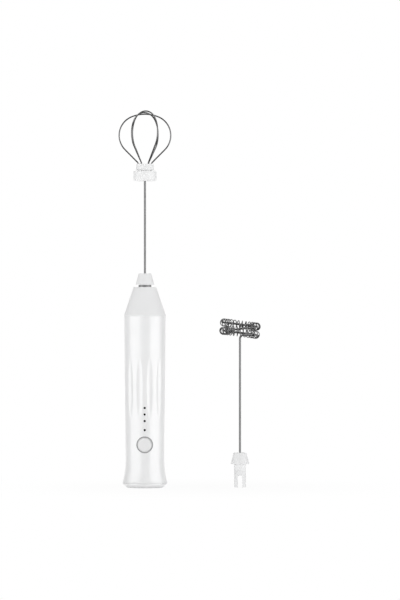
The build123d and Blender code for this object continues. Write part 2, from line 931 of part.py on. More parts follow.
with BuildPart() as commutator:
    with BuildSketch(flat_at(commutator_bottom)):
        Circle(commutator_radius)
        Circle(shaft_radius + press, mode=Mode.SUBTRACT)
    extrude(amount=commutator_length)

commutator.part.label = "commutator"
export_step(commutator.part, "parts/commutator.step")


# Drive dog: a hub on the shaft with a cross bar that turns the slotted stem
with BuildPart() as drive_dog:
    with BuildSketch(flat_at(bar_bottom)):
        Circle(stem_bore - dog_clearance)
    extrude(amount=shaft_top + dog_cap - bar_bottom)
    with BuildSketch(flat_at(bar_bottom)):
        Circle(stem_radius - dog_setback)
        Rectangle(stem_slot - 2 * dog_clearance, 2 * stem_radius, mode=Mode.INTERSECT)
    extrude(amount=bar_top - bar_bottom)
    with BuildSketch(flat_at(bar_bottom)):
        Circle(shaft_radius + press)
    extrude(amount=shaft_top - bar_bottom, mode=Mode.SUBTRACT)

drive_dog.part.label = "drive_dog"
export_step(drive_dog.part, "parts/drive_dog.step")


def make_coupling(foot_x, foot_z):
    """Cone and slotted stem that plug a head into the nose, standing on the stem's foot."""
    upright = Plane(origin=(foot_x, 0, foot_z), x_dir=(1, 0, 0), z_dir=(0, -1, 0))
    foot = Plane(origin=(foot_x, 0, foot_z))
    cone_end = stem_length + cone_height
    rod_hole = cone_end - rod_root
    with BuildPart() as coupling:
        with BuildSketch(upright):
            with BuildLine():
                Polyline(
                    (stem_bore, 0),
                    (stem_radius, 0),
                    (stem_radius, stem_length),
                    (cone_radius, stem_length),
                    (cone_radius, stem_length + cone_edge),
                    (cone_top_radius, cone_end),
                    (rod_radius + press, cone_end),
                    (rod_radius + press, rod_hole),
                    (0, rod_hole),
                    (0, rod_hole - stem_web),
                    (stem_bore, rod_hole - stem_web),
                    close=True,
                )
            make_face()
        revolve(axis=Axis((foot_x, 0, foot_z), (0, 0, 1)))
        rims = coupling.edges().filter_by(GeomType.CIRCLE)
        fillet(rims.filter_by(lambda rim: abs(rim.radius - cone_top_radius) < press), cone_edge)

        # Two opposite slots with round tops, open at the foot
        with BuildSketch(upright):
            with Locations((0, stem_slot_height - stem_slot / 2)):
                Circle(stem_slot / 2)
            Rectangle(stem_slot, stem_slot_height - stem_slot / 2, align=(Align.CENTER, Align.MIN))
        extrude(amount=stem_radius + slip, both=True, mode=Mode.SUBTRACT)
    return coupling


whisk_coupling = make_coupling(0, stem_bottom)
whisk_coupling.part.label = "whisk_coupling"
export_step(whisk_coupling.part, "parts/whisk_coupling.step")

froth_coupling = make_coupling(froth_x, 0)
froth_coupling.part.label = "froth_coupling"
export_step(froth_coupling.part, "parts/froth_coupling.step")


# Whisk: rod, two-piece hub and three stacked wire loops
rod_seat = cone_top - rod_root + press
rod_top = hub_top + spindle_height / 2
wire_depth = collar_height - wire_floor
with BuildPart() as whisk_shaft:
    with BuildSketch(flat_at(rod_seat)):
        Circle(rod_radius)
    extrude(amount=rod_top - rod_seat)

whisk_shaft.part.label = "whisk_shaft"
export_step(whisk_shaft.part, "parts/whisk_shaft.step")


with BuildPart() as whisk_hub_base:
    with BuildSketch(flat_at(hub_bottom)):
        Circle(hub_radius)
    extrude(amount=hub_height)
    fillet(whisk_hub_base.edges().filter_by(GeomType.CIRCLE).sort_by(Axis.Z)[0], hub_round)
    fillet(whisk_hub_base.edges().filter_by(GeomType.CIRCLE).sort_by(Axis.Z)[-1], collar_edge)
    with BuildSketch(flat_at(hub_top)):
        Circle(spindle_radius)
    extrude(amount=spindle_height)
    with BuildSketch(flat_at(hub_bottom)):
        Circle(rod_radius + press)
    extrude(amount=rod_top + press - hub_bottom, mode=Mode.SUBTRACT)

whisk_hub_base.part.label = "whisk_hub_base"
export_step(whisk_hub_base.part, "parts/whisk_hub_base.step")


with BuildPart() as whisk_hub_collar:
    with BuildSketch(flat_at(hub_top)):
        Circle(collar_radius - neck_depth)
    extrude(amount=neck_height)
    with BuildSketch(flat_at(hub_top + neck_height)):
        Circle(collar_radius)
    extrude(amount=collar_height - neck_height)
    chamfer(whisk_hub_collar.edges().filter_by(GeomType.CIRCLE).sort_by(Axis.Z)[-1], collar_edge)
    with BuildSketch(flat_at(hub_top)):
        Circle(spindle_radius + slip)
    extrude(amount=spindle_height + slip, mode=Mode.SUBTRACT)
    with BuildSketch(flat_at(collar_top)):
        with PolarLocations(wire_radius, 2 * loop_count):
            Circle(loop_wire + press)
    extrude(amount=-(wire_depth + press), mode=Mode.SUBTRACT)

whisk_hub_collar.part.label = "whisk_hub_collar"
export_step(whisk_hub_collar.part, "parts/whisk_hub_collar.step")


def make_loop(turn, lift):
    """One wire loop of the balloon: two feet, two straight legs, two shoulders and an arched crown."""
    turn_angle = radians(turn)
    upright = Plane(
        origin=(0, 0, collar_top),
        x_dir=(cos(turn_angle), sin(turn_angle), 0),
        z_dir=(sin(turn_angle), -cos(turn_angle), 0),
    )

    # The crown's circle is centred on the axis and touches both shoulders from outside
    crown_centre = crown_height + lift - crown_radius
    shoulder_x = balloon_radius - shoulder_radius
    shoulder_rise = sqrt((crown_radius - shoulder_radius) ** 2 - shoulder_x**2)
    shoulder = crown_centre + shoulder_rise
    crown_angle = degrees(atan2(shoulder_rise, shoulder_x))

    # The leg is the straight line that touches both the bend at the foot and the shoulder
    bend_x = wire_radius + wire_bend
    centre_angle = atan2(shoulder, shoulder_x - bend_x)
    centre_distance = hypot(shoulder, shoulder_x - bend_x)
    leg_angle = degrees(centre_angle - asin((shoulder_radius + wire_bend) / centre_distance))
    shoulder_sweep = crown_angle + 90 - leg_angle
    bend_sweep = 90 - leg_angle

    with BuildPart() as loop:
        with BuildLine(upright) as wire:
            Line((wire_radius, -wire_depth), (wire_radius, 0))
            right_bend = CenterArc((bend_x, 0), wire_bend, 180, -bend_sweep)
            right = CenterArc((shoulder_x, shoulder), shoulder_radius, leg_angle - 90, shoulder_sweep)
            Line(right_bend @ 1, right @ 0)
            CenterArc((0, crown_centre), crown_radius, crown_angle, 180 - 2 * crown_angle)
            left = CenterArc((-shoulder_x, shoulder), shoulder_radius, 180 - crown_angle, shoulder_sweep)
            left_bend = CenterArc((-bend_x, 0), wire_bend, bend_sweep, -bend_sweep)
            Line(left @ 1, left_bend @ 0)
            Line((-wire_radius, 0), (-wire_radius, -wire_depth))
        foot_plane = Plane(origin=upright.from_local_coords((wire_radius, -wire_depth, 0)), z_dir=(0, 0, 1))
        with BuildSketch(foot_plane):
            Circle(loop_wire)
        sweep(path=wire.wires()[0])
    return loop


loop_step = 2 * loop_wire + loop_gap
for loop_index in range(loop_count):
    whisk_loop = make_loop(loop_index * 180 / loop_count, loop_index * loop_step)
    loop_name = f"whisk_loop_{loop_index + 1}"
    whisk_loop.part.label = loop_name
    export_step(whisk_loop.part, f"parts/{loop_name}.step")


# Spring whisk: the rod bends out to the rim and then climbs round the axis as a chain of tilted half circles
froth_cone_top = stem_length + cone_height
ring_height = froth_cone_top + froth_rod + rod_bend
ring_pitch = 2 * (coil_radius + coil_wire) + ring_gap
half_rise = ring_pitch / 2
half_radius = hypot(ring_radius, half_rise / 2)
spoke_angle = asin(ring_bend / (ring_radius - ring_bend))
spoke_length = (ring_radius - ring_bend) * cos(spoke_angle)


def ring_end(index):
    """Where one half circle of the ring ends and the next begins."""
    return Vector(froth_x + (-1) ** index * ring_radius, 0, ring_height + index * half_rise)


def ring_point(index, angle):
    """Point on a half circle of the ring, counted in radians from its beginning."""
    middle = (ring_end(index) + ring_end(index + 1)) / 2
    return middle + (ring_end(index) - middle) * cos(angle) + Vector(0, (-1) ** index * half_radius * sin(angle), 0)


def spoke_point(distance, drop):
    """Point at a distance from the axis along the spoke, and below the ring's beginning."""
    return Vector(froth_x + distance * cos(spoke_angle), -distance * sin(spoke_angle), ring_height - drop)


with BuildPart() as froth_wire:
    with BuildLine() as core_line:
        Line((froth_x, 0, froth_cone_top - rod_root + press), spoke_point(0, rod_bend))
        bend_side = rod_bend * (1 - cos(pi / 4))
        ThreePointArc(spoke_point(0, rod_bend), spoke_point(bend_side, bend_side), spoke_point(rod_bend, 0))
        Line(spoke_point(rod_bend, 0), spoke_point(spoke_length, 0))
        bend_middle = -(pi / 2 + spoke_angle) / 2
        bend_x = froth_x + ring_radius - ring_bend + ring_bend * cos(bend_middle)
        bend_point = Vector(bend_x, ring_bend * sin(bend_middle), ring_height)
        ThreePointArc(spoke_point(spoke_length, 0), bend_point, ring_end(0))
        for half in range(ring_halves):
            ThreePointArc(ring_end(half), ring_point(half, pi / 2), ring_end(half + 1))
    with BuildSketch(Plane(origin=(froth_x, 0, froth_cone_top - rod_root + press))):
        Circle(rod_radius)
    sweep(path=core_line.wires()[0])

froth_wire.part.label = "froth_wire"
export_step(froth_wire.part, "parts/froth_wire.step")


# Coil round the ring: its end turns close in on the core and grip it
coil_length = (ring_halves - coil_start - coil_end) * pi * half_radius
coil_turns = round(coil_length / coil_pitch)
coil_grip = rod_radius + coil_wire + slip


def coil_point(turn):
    """Point on the centre line of the coil, counted in turns from its beginning."""
    along = coil_start + (ring_halves - coil_start - coil_end) * turn / coil_turns
    index = max(0, min(ring_halves - 1, int(along)))
    angle = (along - index) * pi
    core = ring_point(index, angle)
    outward = Vector(core.X - froth_x, core.Y, 0).normalized()
    ahead = (ring_point(index, angle + small_step) - ring_point(index, angle - small_step)).normalized()
    upward = ahead.cross(outward).normalized()
    open_share = min(1, max(0, min(turn, coil_turns - turn)) / coil_lead)
    radius = coil_grip + (coil_radius - coil_grip) * open_share
    winding = 2 * pi * turn
    return core + outward * (radius * cos(winding)) + upward * (radius * sin(winding)), core


with BuildPart() as froth_spring:
    for step in range(coil_turns * coil_steps + 1):
        turn = step / coil_steps
        place, core = coil_point(turn)
        heading = coil_point(turn + small_step)[0] - coil_point(turn - small_step)[0]
        with BuildSketch(Plane(origin=place, x_dir=place - core, z_dir=heading)):
            Rectangle(coil_wire * sqrt(pi), coil_wire * sqrt(pi))
    loft(ruled=True)

froth_spring.part.label = "froth_spring"
export_step(froth_spring.part, "parts/froth_spring.step")

print(f"total height {collar_top + crown_height + (loop_count - 1) * loop_step + loop_wire:.1f} mm")
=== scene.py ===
# %% [markdown]
# # Dressing a milk frother
#
# The object is a rechargeable milk frother: a white handle on a flared foot, a balloon whisk plugged into
# its nose, and a second head with a coiled spring that stands beside it.
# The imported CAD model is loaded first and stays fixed. Every piece made here takes its place from it, in
# metres.

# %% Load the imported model
import json
from functools import partialmethod
from math import asin, atan, atan2, ceil, cos, degrees, hypot, pi, radians, sin, sqrt, tan

import bmesh
import bpy
from mathutils import Matrix, Vector


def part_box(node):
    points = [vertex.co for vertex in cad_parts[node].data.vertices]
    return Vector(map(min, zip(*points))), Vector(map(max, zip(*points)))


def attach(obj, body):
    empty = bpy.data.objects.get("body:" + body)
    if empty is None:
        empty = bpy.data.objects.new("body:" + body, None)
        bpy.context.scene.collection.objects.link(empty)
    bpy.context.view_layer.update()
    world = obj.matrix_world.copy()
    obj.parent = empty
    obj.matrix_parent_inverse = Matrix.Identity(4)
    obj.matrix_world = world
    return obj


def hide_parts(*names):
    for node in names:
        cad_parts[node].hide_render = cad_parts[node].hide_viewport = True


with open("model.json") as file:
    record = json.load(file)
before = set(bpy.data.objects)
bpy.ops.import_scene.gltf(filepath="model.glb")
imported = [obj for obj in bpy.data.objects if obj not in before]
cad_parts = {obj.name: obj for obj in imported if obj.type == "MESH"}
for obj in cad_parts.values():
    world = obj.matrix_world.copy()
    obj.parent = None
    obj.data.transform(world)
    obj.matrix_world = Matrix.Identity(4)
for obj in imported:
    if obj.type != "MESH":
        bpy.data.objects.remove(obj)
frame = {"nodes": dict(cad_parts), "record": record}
scene = bpy.context.scene
mm = 0.001
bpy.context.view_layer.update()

# %% [markdown]
# ## Camera
#
# The photograph looks straight at the front with hardly any perspective, so a long lens stands far away.
# One pixel covers the same length all over such a picture, and that length gives the lens.

# %% Camera
image_height = 600
pixel_length = 0.663 * mm
camera_distance = 2.5
sensor_width = 36
view_middle = Vector((36.5 * mm, 0, 124.2 * mm))
camera_lens = bpy.data.cameras.new("camera")
camera_lens.sensor_width = sensor_width
camera_lens.lens = sensor_width * camera_distance / (image_height * pixel_length)
camera = bpy.data.objects.new("camera", camera_lens)
camera.location = view_middle + Vector((0, -camera_distance, 0))
camera.rotation_euler = (radians(90), 0, 0)
scene.collection.objects.link(camera)
scene.camera = camera
print(f"lens {camera_lens.lens:.0f} mm at {camera_distance} m")

# %% [markdown]
# ## Tools for node trees
#
# Materials, the world and Geometry Nodes are all trees of nodes. One function adds a node and sets or links
# its inputs. Sums would need a node for every sign, so a small class lets a number in a tree take + - * / as
# in a formula, and adds those nodes by itself.

# %% Tools for node trees
def feed(node, inputs):
    """Set each named input of a node to a value, or link it to a socket or a term."""
    for name, value in inputs.items():
        source = value.socket if isinstance(value, Term) else value
        if isinstance(source, bpy.types.NodeSocket):
            node.id_data.links.new(source, node.inputs[name])
        else:
            node.inputs[name].default_value = source


def add(tree, kind, inputs=None, **options):
    """New node in a tree, with its options and its inputs."""
    node = tree.nodes.new(kind)
    for option, value in options.items():
        setattr(node, option, value)
    feed(node, inputs or {})
    return node


def calc(tree, operation, *values):
    """Term for one operation on numbers, sockets or terms."""
    return Term(add(tree, "ShaderNodeMath", dict(enumerate(values)), operation=operation).outputs[0])


class Term:
    """Number in a node tree that can be used in a formula."""

    def __init__(self, socket):
        self.socket = socket

    def then(self, operation, *others):
        """Term for an operation on this number, and others if it needs them."""
        return calc(self.socket.id_data, operation, self, *others)

    __add__ = partialmethod(then, "ADD")
    __sub__ = partialmethod(then, "SUBTRACT")
    __mul__ = partialmethod(then, "MULTIPLY")
    __truediv__ = partialmethod(then, "DIVIDE")

    def spread(self, low, high, start=0.0, end=1.0, soft_ends=False):
        """Term that goes from low to high while this number goes from start to end."""
        limits = {"Value": self, "From Min": start, "From Max": end, "To Min": low, "To Max": high}
        ease = "SMOOTHSTEP" if soft_ends else "LINEAR"
        mapped = add(self.socket.id_data, "ShaderNodeMapRange", limits, interpolation_type=ease)
        return Term(mapped.outputs["Result"])


# %% Patterns, distances and vectors
noise_low = 0.3
noise_high = 0.7
fine_detail = 3.0


def noise(tree, where, size, low=0.0, high=1.0, detail=2.0):
    """Random pattern with features of a size in metres, spread from low to high."""
    pattern = add(tree, "ShaderNodeTexNoise", {"Vector": where, "Scale": 1 / size, "Detail": detail})
    return Term(pattern.outputs["Fac"]).spread(low, high, noise_low, noise_high)


def vector_calc(tree, operation, *values, **named):
    """Vector that one operation makes of vectors and named inputs."""
    inputs = {**dict(enumerate(values)), **named}
    return add(tree, "ShaderNodeVectorMath", inputs, operation=operation).outputs["Vector"]


def distance(tree, place, centre):
    """Term for how far a place is from a centre."""
    apart = add(tree, "ShaderNodeVectorMath", {0: place, 1: centre}, operation="DISTANCE")
    return Term(apart.outputs["Value"])


# %% [markdown]
# ## Light and floor
#
# The picture is white on white, so the object is drawn by very soft differences. The world is a plain pale
# room for the light that it throws. What the camera sees of it is white. Mirrors see white behind the object
# and a dim room in front, as in a studio, and that is what makes thin polished wire look dark.

# %% World
room_level = 0.2
dim_level = 0.07
behind_start = 0.5


def white_light(tree, kind, strength):
    """White light of a strength, from a world's background or from a surface."""
    return add(tree, kind, {"Color": (1, 1, 1, 1), "Strength": strength}).outputs[0]


def mixed(tree, share, first, second):
    """Blend of two shaders, where the share is the second one's part."""
    return add(tree, "ShaderNodeMixShader", {0: share, 1: first, 2: second}).outputs[0]


world = bpy.data.worlds.new("studio")
scene.world = world
world.use_nodes = True
tree = world.node_tree
tree.nodes.clear()
ray = add(tree, "ShaderNodeLightPath").outputs
direction = add(tree, "ShaderNodeTexCoord").outputs["Generated"]
depth = Term(add(tree, "ShaderNodeSeparateXYZ", {"Vector": direction}).outputs["Y"])
behind = depth.spread(dim_level, 1.0, behind_start, 1.0, soft_ends=True)
room = white_light(tree, "ShaderNodeBackground", room_level)
mirrored = white_light(tree, "ShaderNodeBackground", behind)
indoors = mixed(tree, ray["Is Glossy Ray"], room, mirrored)
seen = calc(tree, "MAXIMUM", ray["Is Camera Ray"], ray["Is Transmission Ray"])
background = mixed(tree, seen, indoors, white_light(tree, "ShaderNodeBackground", 1.0))
add(tree, "ShaderNodeOutputWorld", {"Surface": background})
scene.view_settings.view_transform = "Standard"
print("world lights the room at", room_level)

# %% [markdown]
# ### Floor
#
# The floor is a wide sheet of paper that looks white to the camera and keeps a faint shadow round the object.
# It throws light back up at the object, apart from a narrow ring under the edge of the foot, which gives the
# foot its dark line. Seen from below it is clear, so that the underside can be looked at.

# %% Floor
floor_half = 2.0
floor_drop = 0.05 * mm
paper_grain = 0.2
paper_tones = (0.88, 0.9)
shadow_share = 0.08
shadow_reach = 0.16
throw_share = 0.9
contact_radius = 12.5 * mm
shade_reach = 2 * mm
floor_mesh = bpy.data.meshes.new("floor")
sides = ((-1, -1), (1, -1), (1, 1), (-1, 1))
floor_mesh.from_pydata([(x * floor_half, y * floor_half, -floor_drop) for x, y in sides], [], [(0, 1, 2, 3)])
floor = bpy.data.objects.new("floor", floor_mesh)
scene.collection.objects.link(floor)
paper = bpy.data.materials.new("paper_sweep")
paper.use_nodes = True
tree = paper.node_tree
tree.nodes.clear()
where = add(tree, "ShaderNodeTexCoord").outputs["Object"]
tone = noise(tree, where, paper_grain, *paper_tones)
matte = add(tree, "ShaderNodeBsdfDiffuse", {"Color": tone}).outputs[0]
from_middle = distance(tree, where, (view_middle.x, 0, 0))
white_share = from_middle.spread(1 - shadow_share, 1.0, 0.0, shadow_reach, soft_ends=True)
from_contact = (distance(tree, where, (0, 0, 0)) - contact_radius).then("ABSOLUTE")
open_floor = from_contact.spread(0.0, throw_share, 0.0, shade_reach, soft_ends=True)
ray = add(tree, "ShaderNodeLightPath").outputs
thrown = open_floor * ray["Is Diffuse Ray"]
lit = thrown.then("MAXIMUM", ray["Is Camera Ray"])
surface = mixed(tree, lit * white_share, matte, white_light(tree, "ShaderNodeEmission", 1.0))
from_below = add(tree, "ShaderNodeNewGeometry").outputs["Backfacing"]
clear = add(tree, "ShaderNodeBsdfTransparent").outputs[0]
add(tree, "ShaderNodeOutputMaterial", {"Surface": mixed(tree, from_below, surface, clear)})
paper.cycles.emission_sampling = "NONE"
floor_mesh.materials.append(paper)
floor.visible_glossy = False
print("floor", 2 * floor_half, "m wide")

# %% [markdown]
# ### Softboxes
#
# Two wide softboxes at the sides draw the two bright bands along the glossy sleeve. Weaker ones in front and
# behind only fill the shade: mirrors don't see them, so they add no band. The last one shines from above.

# %% Softboxes
softbox_distance = 1.0
softbox_height = 0.9
softboxes = [
    # side, bearing, tilt, width, power
    ("left", -58, 0, 1.35, 7.0),
    ("right", 64, 0, 1.35, 7.6),
    ("front", 0, 0, 0.6, 1.2),
    ("back", 180, 0, 0.5, 5.0),
    ("top", 0, 90, 0.9, 4.9),
]
for side, bearing, tilt, width, power in softboxes:
    lamp = bpy.data.lights.new(f"softbox_{side}", "AREA")
    lamp.shape = "RECTANGLE"
    lamp.size = width
    lamp.size_y = softbox_height
    lamp.energy = power
    box = bpy.data.objects.new(lamp.name, lamp)
    turn = Matrix.Rotation(radians(bearing), 4, "Z")
    tip = Matrix.Rotation(radians(90 - tilt), 4, "X")
    back_off = Matrix.Translation((0, 0, softbox_distance))
    box.matrix_world = Matrix.Translation((0, 0, view_middle.z)) @ turn @ tip @ back_off
    box.visible_camera = False
    box.visible_glossy = side not in ("front", "back")
    scene.collection.objects.link(box)
print(len(softboxes), "softboxes", softbox_distance, "m away")

# %% [markdown]
# ## Finishes
#
# A moulded or drawn surface is never one flat colour. Each finish below is a Principled shader whose colour,
# gloss and tiny relief come from noise on Object coordinates, in real millimetres. Values that are the same
# all over sit on the shader's own sockets.

# %% Tools for finishes
materials = {}
plastic_mottle = 14 * mm
gloss_patch = 5 * mm
metal_mottle = 3 * mm
mark_width = 0.25 * mm


def new_finish(slot):
    """Empty material for a slot of the record: its tree, shader and Object coordinates."""
    material = bpy.data.materials.new(slot)
    material.use_nodes = True
    materials[slot] = material
    tree = material.node_tree
    where = add(tree, "ShaderNodeTexCoord").outputs["Object"]
    return tree, tree.nodes["Principled BSDF"], where


def attribute(tree, name):
    """Term for a value that a mesh keeps on its points. It is zero where the mesh has none."""
    return Term(add(tree, "ShaderNodeAttribute", attribute_name=name).outputs["Fac"])


def mottle(tree, shader, where, size, dark, light):
    """Colour that wanders slowly between two tones."""
    tones = {"A": (*dark, 1), "B": (*light, 1)}
    mix = add(tree, "ShaderNodeMix", {"Factor": noise(tree, where, size)}, data_type="RGBA")
    for socket in mix.inputs:
        if socket.type == "RGBA":
            socket.default_value = tones[socket.name]
    colour = [socket for socket in mix.outputs if socket.type == "RGBA"][0]
    feed(shader, {"Base Color": colour})


def relief(tree, shader, height, depth):
    """Tiny bumps of a depth in metres."""
    bump = add(tree, "ShaderNodeBump", {"Height": height, "Distance": depth})
    feed(shader, {"Normal": bump.outputs["Normal"]})


def moulded(slot, dark, light, gloss, grain_size, grain_depth):
    """Moulded plastic or rubber: mottle, roughness from low to high, and a fine skin in millimetres."""
    tree, shader, where = new_finish(slot)
    mottle(tree, shader, where, plastic_mottle, dark, light)
    feed(shader, {"Roughness": noise(tree, where, gloss_patch, *gloss) + attribute(tree, "dull")})
    relief(tree, shader, noise(tree, where, grain_size * mm, detail=fine_detail), grain_depth * mm)
    return shader


def worked(slot, dark, light, gloss, stretch, line_depth):
    """Metal with tool marks: noise scaled along X, Y and Z, with a depth in millimetres."""
    tree, shader, where = new_finish(slot)
    mottle(tree, shader, where, metal_mottle, dark, light)
    marks = add(tree, "ShaderNodeMapping", {"Vector": where, "Scale": stretch}).outputs["Vector"]
    lines = noise(tree, marks, mark_width, detail=fine_detail)
    feed(shader, {"Metallic": 1.0, "Roughness": lines.spread(*gloss)})
    relief(tree, shader, lines, line_depth * mm)


# %% Plastics that show
shell_dark = (0.875, 0.878, 0.882)
shell_light = (0.9, 0.902, 0.904)
gloss_white = moulded("shell_white", shell_dark, shell_light, (0.28, 0.34), 1.6, 0.002)
feed(gloss_white, {"IOR": 1.6, "Specular IOR Level": 0.95})
moulded("satin_white", (0.83, 0.832, 0.835), (0.85, 0.852, 0.855), (0.46, 0.56), 0.22, 0.006)
moulded("button_grey", (0.8, 0.8, 0.802), (0.825, 0.825, 0.827), (0.42, 0.52), 0.18, 0.005)
moulded("ring_grey", (0.38, 0.38, 0.384), (0.43, 0.43, 0.434), (0.36, 0.46), 0.15, 0.003)
moulded("lens_black", (0.006, 0.006, 0.007), (0.014, 0.014, 0.015), (0.06, 0.12), 0.6, 0.001)
print("plastics:", ", ".join(materials))

# %% Metals that show
# bush_steel is darker than the other steels: partly steel, partly painted shade for the gap under the whisk's
# cone.
worked("bush_steel", (0.33, 0.33, 0.333), (0.38, 0.38, 0.383), (0.44, 0.54), (0.3, 0.3, 8), 0.001)
worked("screw_steel", (0.46, 0.46, 0.47), (0.58, 0.58, 0.59), (0.28, 0.42), (1, 1, 6), 0.003)
worked("port_steel", (0.55, 0.55, 0.56), (0.64, 0.64, 0.65), (0.28, 0.38), (1, 6, 1), 0.002)
print(len(materials), "finishes so far")

# %% [markdown]
# ### Drawn wire
#
# Whisk wire is pulled through a die, so its fine scratches run along the wire, round every bend. Object
# coordinates can't follow a bend. The wires below carry two attributes, how far along and how far around a
# point lies, and this finish reads those two.

# %% Drawn wire
wire_dark = (0.225, 0.225, 0.227)
wire_light = (0.255, 0.255, 0.257)
wire_mottle = 15 * mm
wire_gloss = (0.28, 0.34)
scratch_width = 0.3
scratch_length = 12 * mm
scratch_depth = 0.0003 * mm
tree, shader, where = new_finish("bright_steel")
mottle(tree, shader, where, wire_mottle, wire_dark, wire_light)
around = attribute(tree, "around") * (2 * pi)
along = attribute(tree, "along") * (scratch_width / scratch_length)
unrolled = {"X": around.then("COSINE"), "Y": around.then("SINE"), "Z": along}
ribbon = add(tree, "ShaderNodeCombineXYZ", unrolled).outputs[0]
scratches = noise(tree, ribbon, scratch_width, detail=fine_detail)
feed(shader, {"Metallic": 1.0, "Roughness": scratches.spread(*wire_gloss)})
relief(tree, shader, scratches, scratch_depth)
print("drawn wire with scratches", scratch_length / mm, "mm long")

# %% [markdown]
# ### Finishes inside the handle
#
# Nobody sees the motor, the cell or the board until the handle is opened, but each still gets what it is
# made of.

# %% Finishes inside the handle
moulded("carrier_grey", (0.5, 0.51, 0.53), (0.56, 0.57, 0.59), (0.45, 0.6), 0.3, 0.008)
moulded("chip_black", (0.02, 0.02, 0.021), (0.04, 0.04, 0.042), (0.5, 0.65), 0.1, 0.004)
moulded("seal_rubber", (0.025, 0.025, 0.026), (0.045, 0.045, 0.046), (0.65, 0.8), 0.15, 0.01)
moulded("lead_insulation", (0.42, 0.04, 0.035), (0.52, 0.06, 0.05), (0.35, 0.5), 0.4, 0.004)
moulded("cell_wrap", (0.07, 0.22, 0.42), (0.1, 0.28, 0.5), (0.28, 0.38), 6, 0.02)
moulded("board_green", (0.03, 0.19, 0.07), (0.06, 0.27, 0.11), (0.28, 0.4), 0.5, 0.01)
lamp_body = moulded("lamp_clear", (0.86, 0.86, 0.72), (0.92, 0.92, 0.8), (0.08, 0.16), 1, 0.002)
feed(lamp_body, {"Transmission Weight": 0.5})
worked("motor_steel", (0.5, 0.5, 0.5), (0.62, 0.62, 0.62), (0.28, 0.45), (1, 1, 0.2), 0.003)
worked("magnet_grey", (0.12, 0.12, 0.122), (0.2, 0.2, 0.2), (0.5, 0.7), (1, 1, 1), 0.01)
worked("bronze", (0.5, 0.33, 0.15), (0.62, 0.43, 0.21), (0.3, 0.45), (1, 1, 1), 0.006)
worked("copper", (0.6, 0.27, 0.13), (0.74, 0.36, 0.19), (0.28, 0.4), (1, 1, 12), 0.02)
slot_of = {subpart["node"]: subpart["material_slot"] for subpart in frame["record"]["subparts"]}
for node, slot in slot_of.items():
    for finish in frame["nodes"][node].material_slots:
        finish.material = materials[slot]
print(len(materials), "finishes, one for each slot of the record")

# %% [markdown]
# ## Tools for pieces
#
# Most of this object was turned or moulded round an axis, so one function rounds the corners of an outline
# and another turns it. Others draw arcs and upright prisms and cut holes with Blender's boolean. The last one
# puts a finished mesh in the scene in place of a CAD node and hides that node: the record says which finish
# and body the node has.

# %% Tools for turned pieces
crisp = 0.1 * mm
soft = 0.2 * mm


def rounded(corners, steps=6):
    """Outline through corners (radius, height). A corner (radius, height, round) becomes an arc."""
    points = []
    for index, (radius, height, *rounds) in enumerate(corners):
        here = Vector((radius, height))
        if not rounds:
            points.append(here)
            continue
        size = rounds[0]
        before = (Vector(corners[index - 1][:2]) - here).normalized()
        after = (Vector(corners[(index + 1) % len(corners)][:2]) - here).normalized()
        half = before.angle(after) / 2
        centre = here + (before + after).normalized() * (size / sin(half))
        start = here + before * (size / tan(half)) - centre
        end = here + after * (size / tan(half)) - centre
        for step in range(steps + 1):
            points.append(centre + start.lerp(end, step / steps).normalized() * size)
    return points


def arc(centre, radius, start, sweep, step_size=4):
    """Points of a flat arc from a start through a sweep, in degrees."""
    steps = max(2, ceil(abs(sweep) / step_size))
    angles = [radians(start + sweep * step / steps) for step in range(steps + 1)]
    return [Vector(centre) + radius * Vector((cos(angle), sin(angle))) for angle in angles]


def closed_mesh(name, build):
    """Mesh of a bmesh, with its faces pointing outwards."""
    bmesh.ops.recalc_face_normals(build, faces=build.faces)
    mesh = bpy.data.meshes.new(name)
    build.to_mesh(mesh)
    build.free()
    return mesh


def turned(name, corners, steps=6, segments=144):
    """Mesh of an outline through corners, turned round an upright axis."""
    build = bmesh.new()
    rings = []
    for radius, height in rounded(corners, steps):
        count = segments if radius > 0 else 1
        angles = [2 * pi * step / count for step in range(count)]
        places = [(radius * cos(angle), radius * sin(angle), height) for angle in angles]
        rings.append([build.verts.new(place) for place in places])
    for low, high in zip(rings, rings[1:] + rings[:1]):
        if len(low) + len(high) == 2:
            continue
        for step in range(segments):
            face = [low[step % len(low)], low[(step + 1) % len(low)]]
            face += [high[(step + 1) % len(high)], high[step % len(high)]]
            build.faces.new(list(dict.fromkeys(face)))
    return closed_mesh(name, build)


def prism(name, outline, bottom, top):
    """Upright solid over an outline of (x, y) points."""
    build = bmesh.new()
    floor_ring = [build.verts.new((x, y, bottom)) for x, y in outline]
    roof_ring = [build.verts.new((x, y, top)) for x, y in outline]
    build.faces.new(floor_ring)
    build.faces.new(roof_ring)
    for index in range(len(outline)):
        after = (index + 1) % len(outline)
        build.faces.new((floor_ring[index], floor_ring[after], roof_ring[after], roof_ring[index]))
    return closed_mesh(name, build)


# %% Tools for cutting and handing over
sharp_angle = radians(28)
bodies = frame["record"]["behaviour"]["bodies"]
body_of = {node: body for body, nodes in bodies.items() for node in nodes}


def shown(name, mesh):
    """New object for a mesh, linked to the scene."""
    piece = bpy.data.objects.new(name, mesh)
    scene.collection.objects.link(piece)
    return piece


def baked(piece):
    """Plain mesh of an object with its modifiers, in place of the object."""
    bpy.context.view_layer.update()
    evaluated = piece.evaluated_get(bpy.context.evaluated_depsgraph_get())
    mesh = bpy.data.meshes.new_from_object(evaluated)
    bpy.data.objects.remove(piece)
    return mesh


def cut(mesh, cutters):
    """Mesh less all the cutters, which must be closed."""
    blank = shown("blank", mesh)
    tools = [shown("cutter", cutter) for cutter in cutters]
    for tool in tools:
        modifier = blank.modifiers.new("cut", "BOOLEAN")
        modifier.operation = "DIFFERENCE"
        modifier.solver = "MANIFOLD"
        modifier.object = tool
    result = baked(blank)
    for tool in tools:
        bpy.data.objects.remove(tool)
    return result


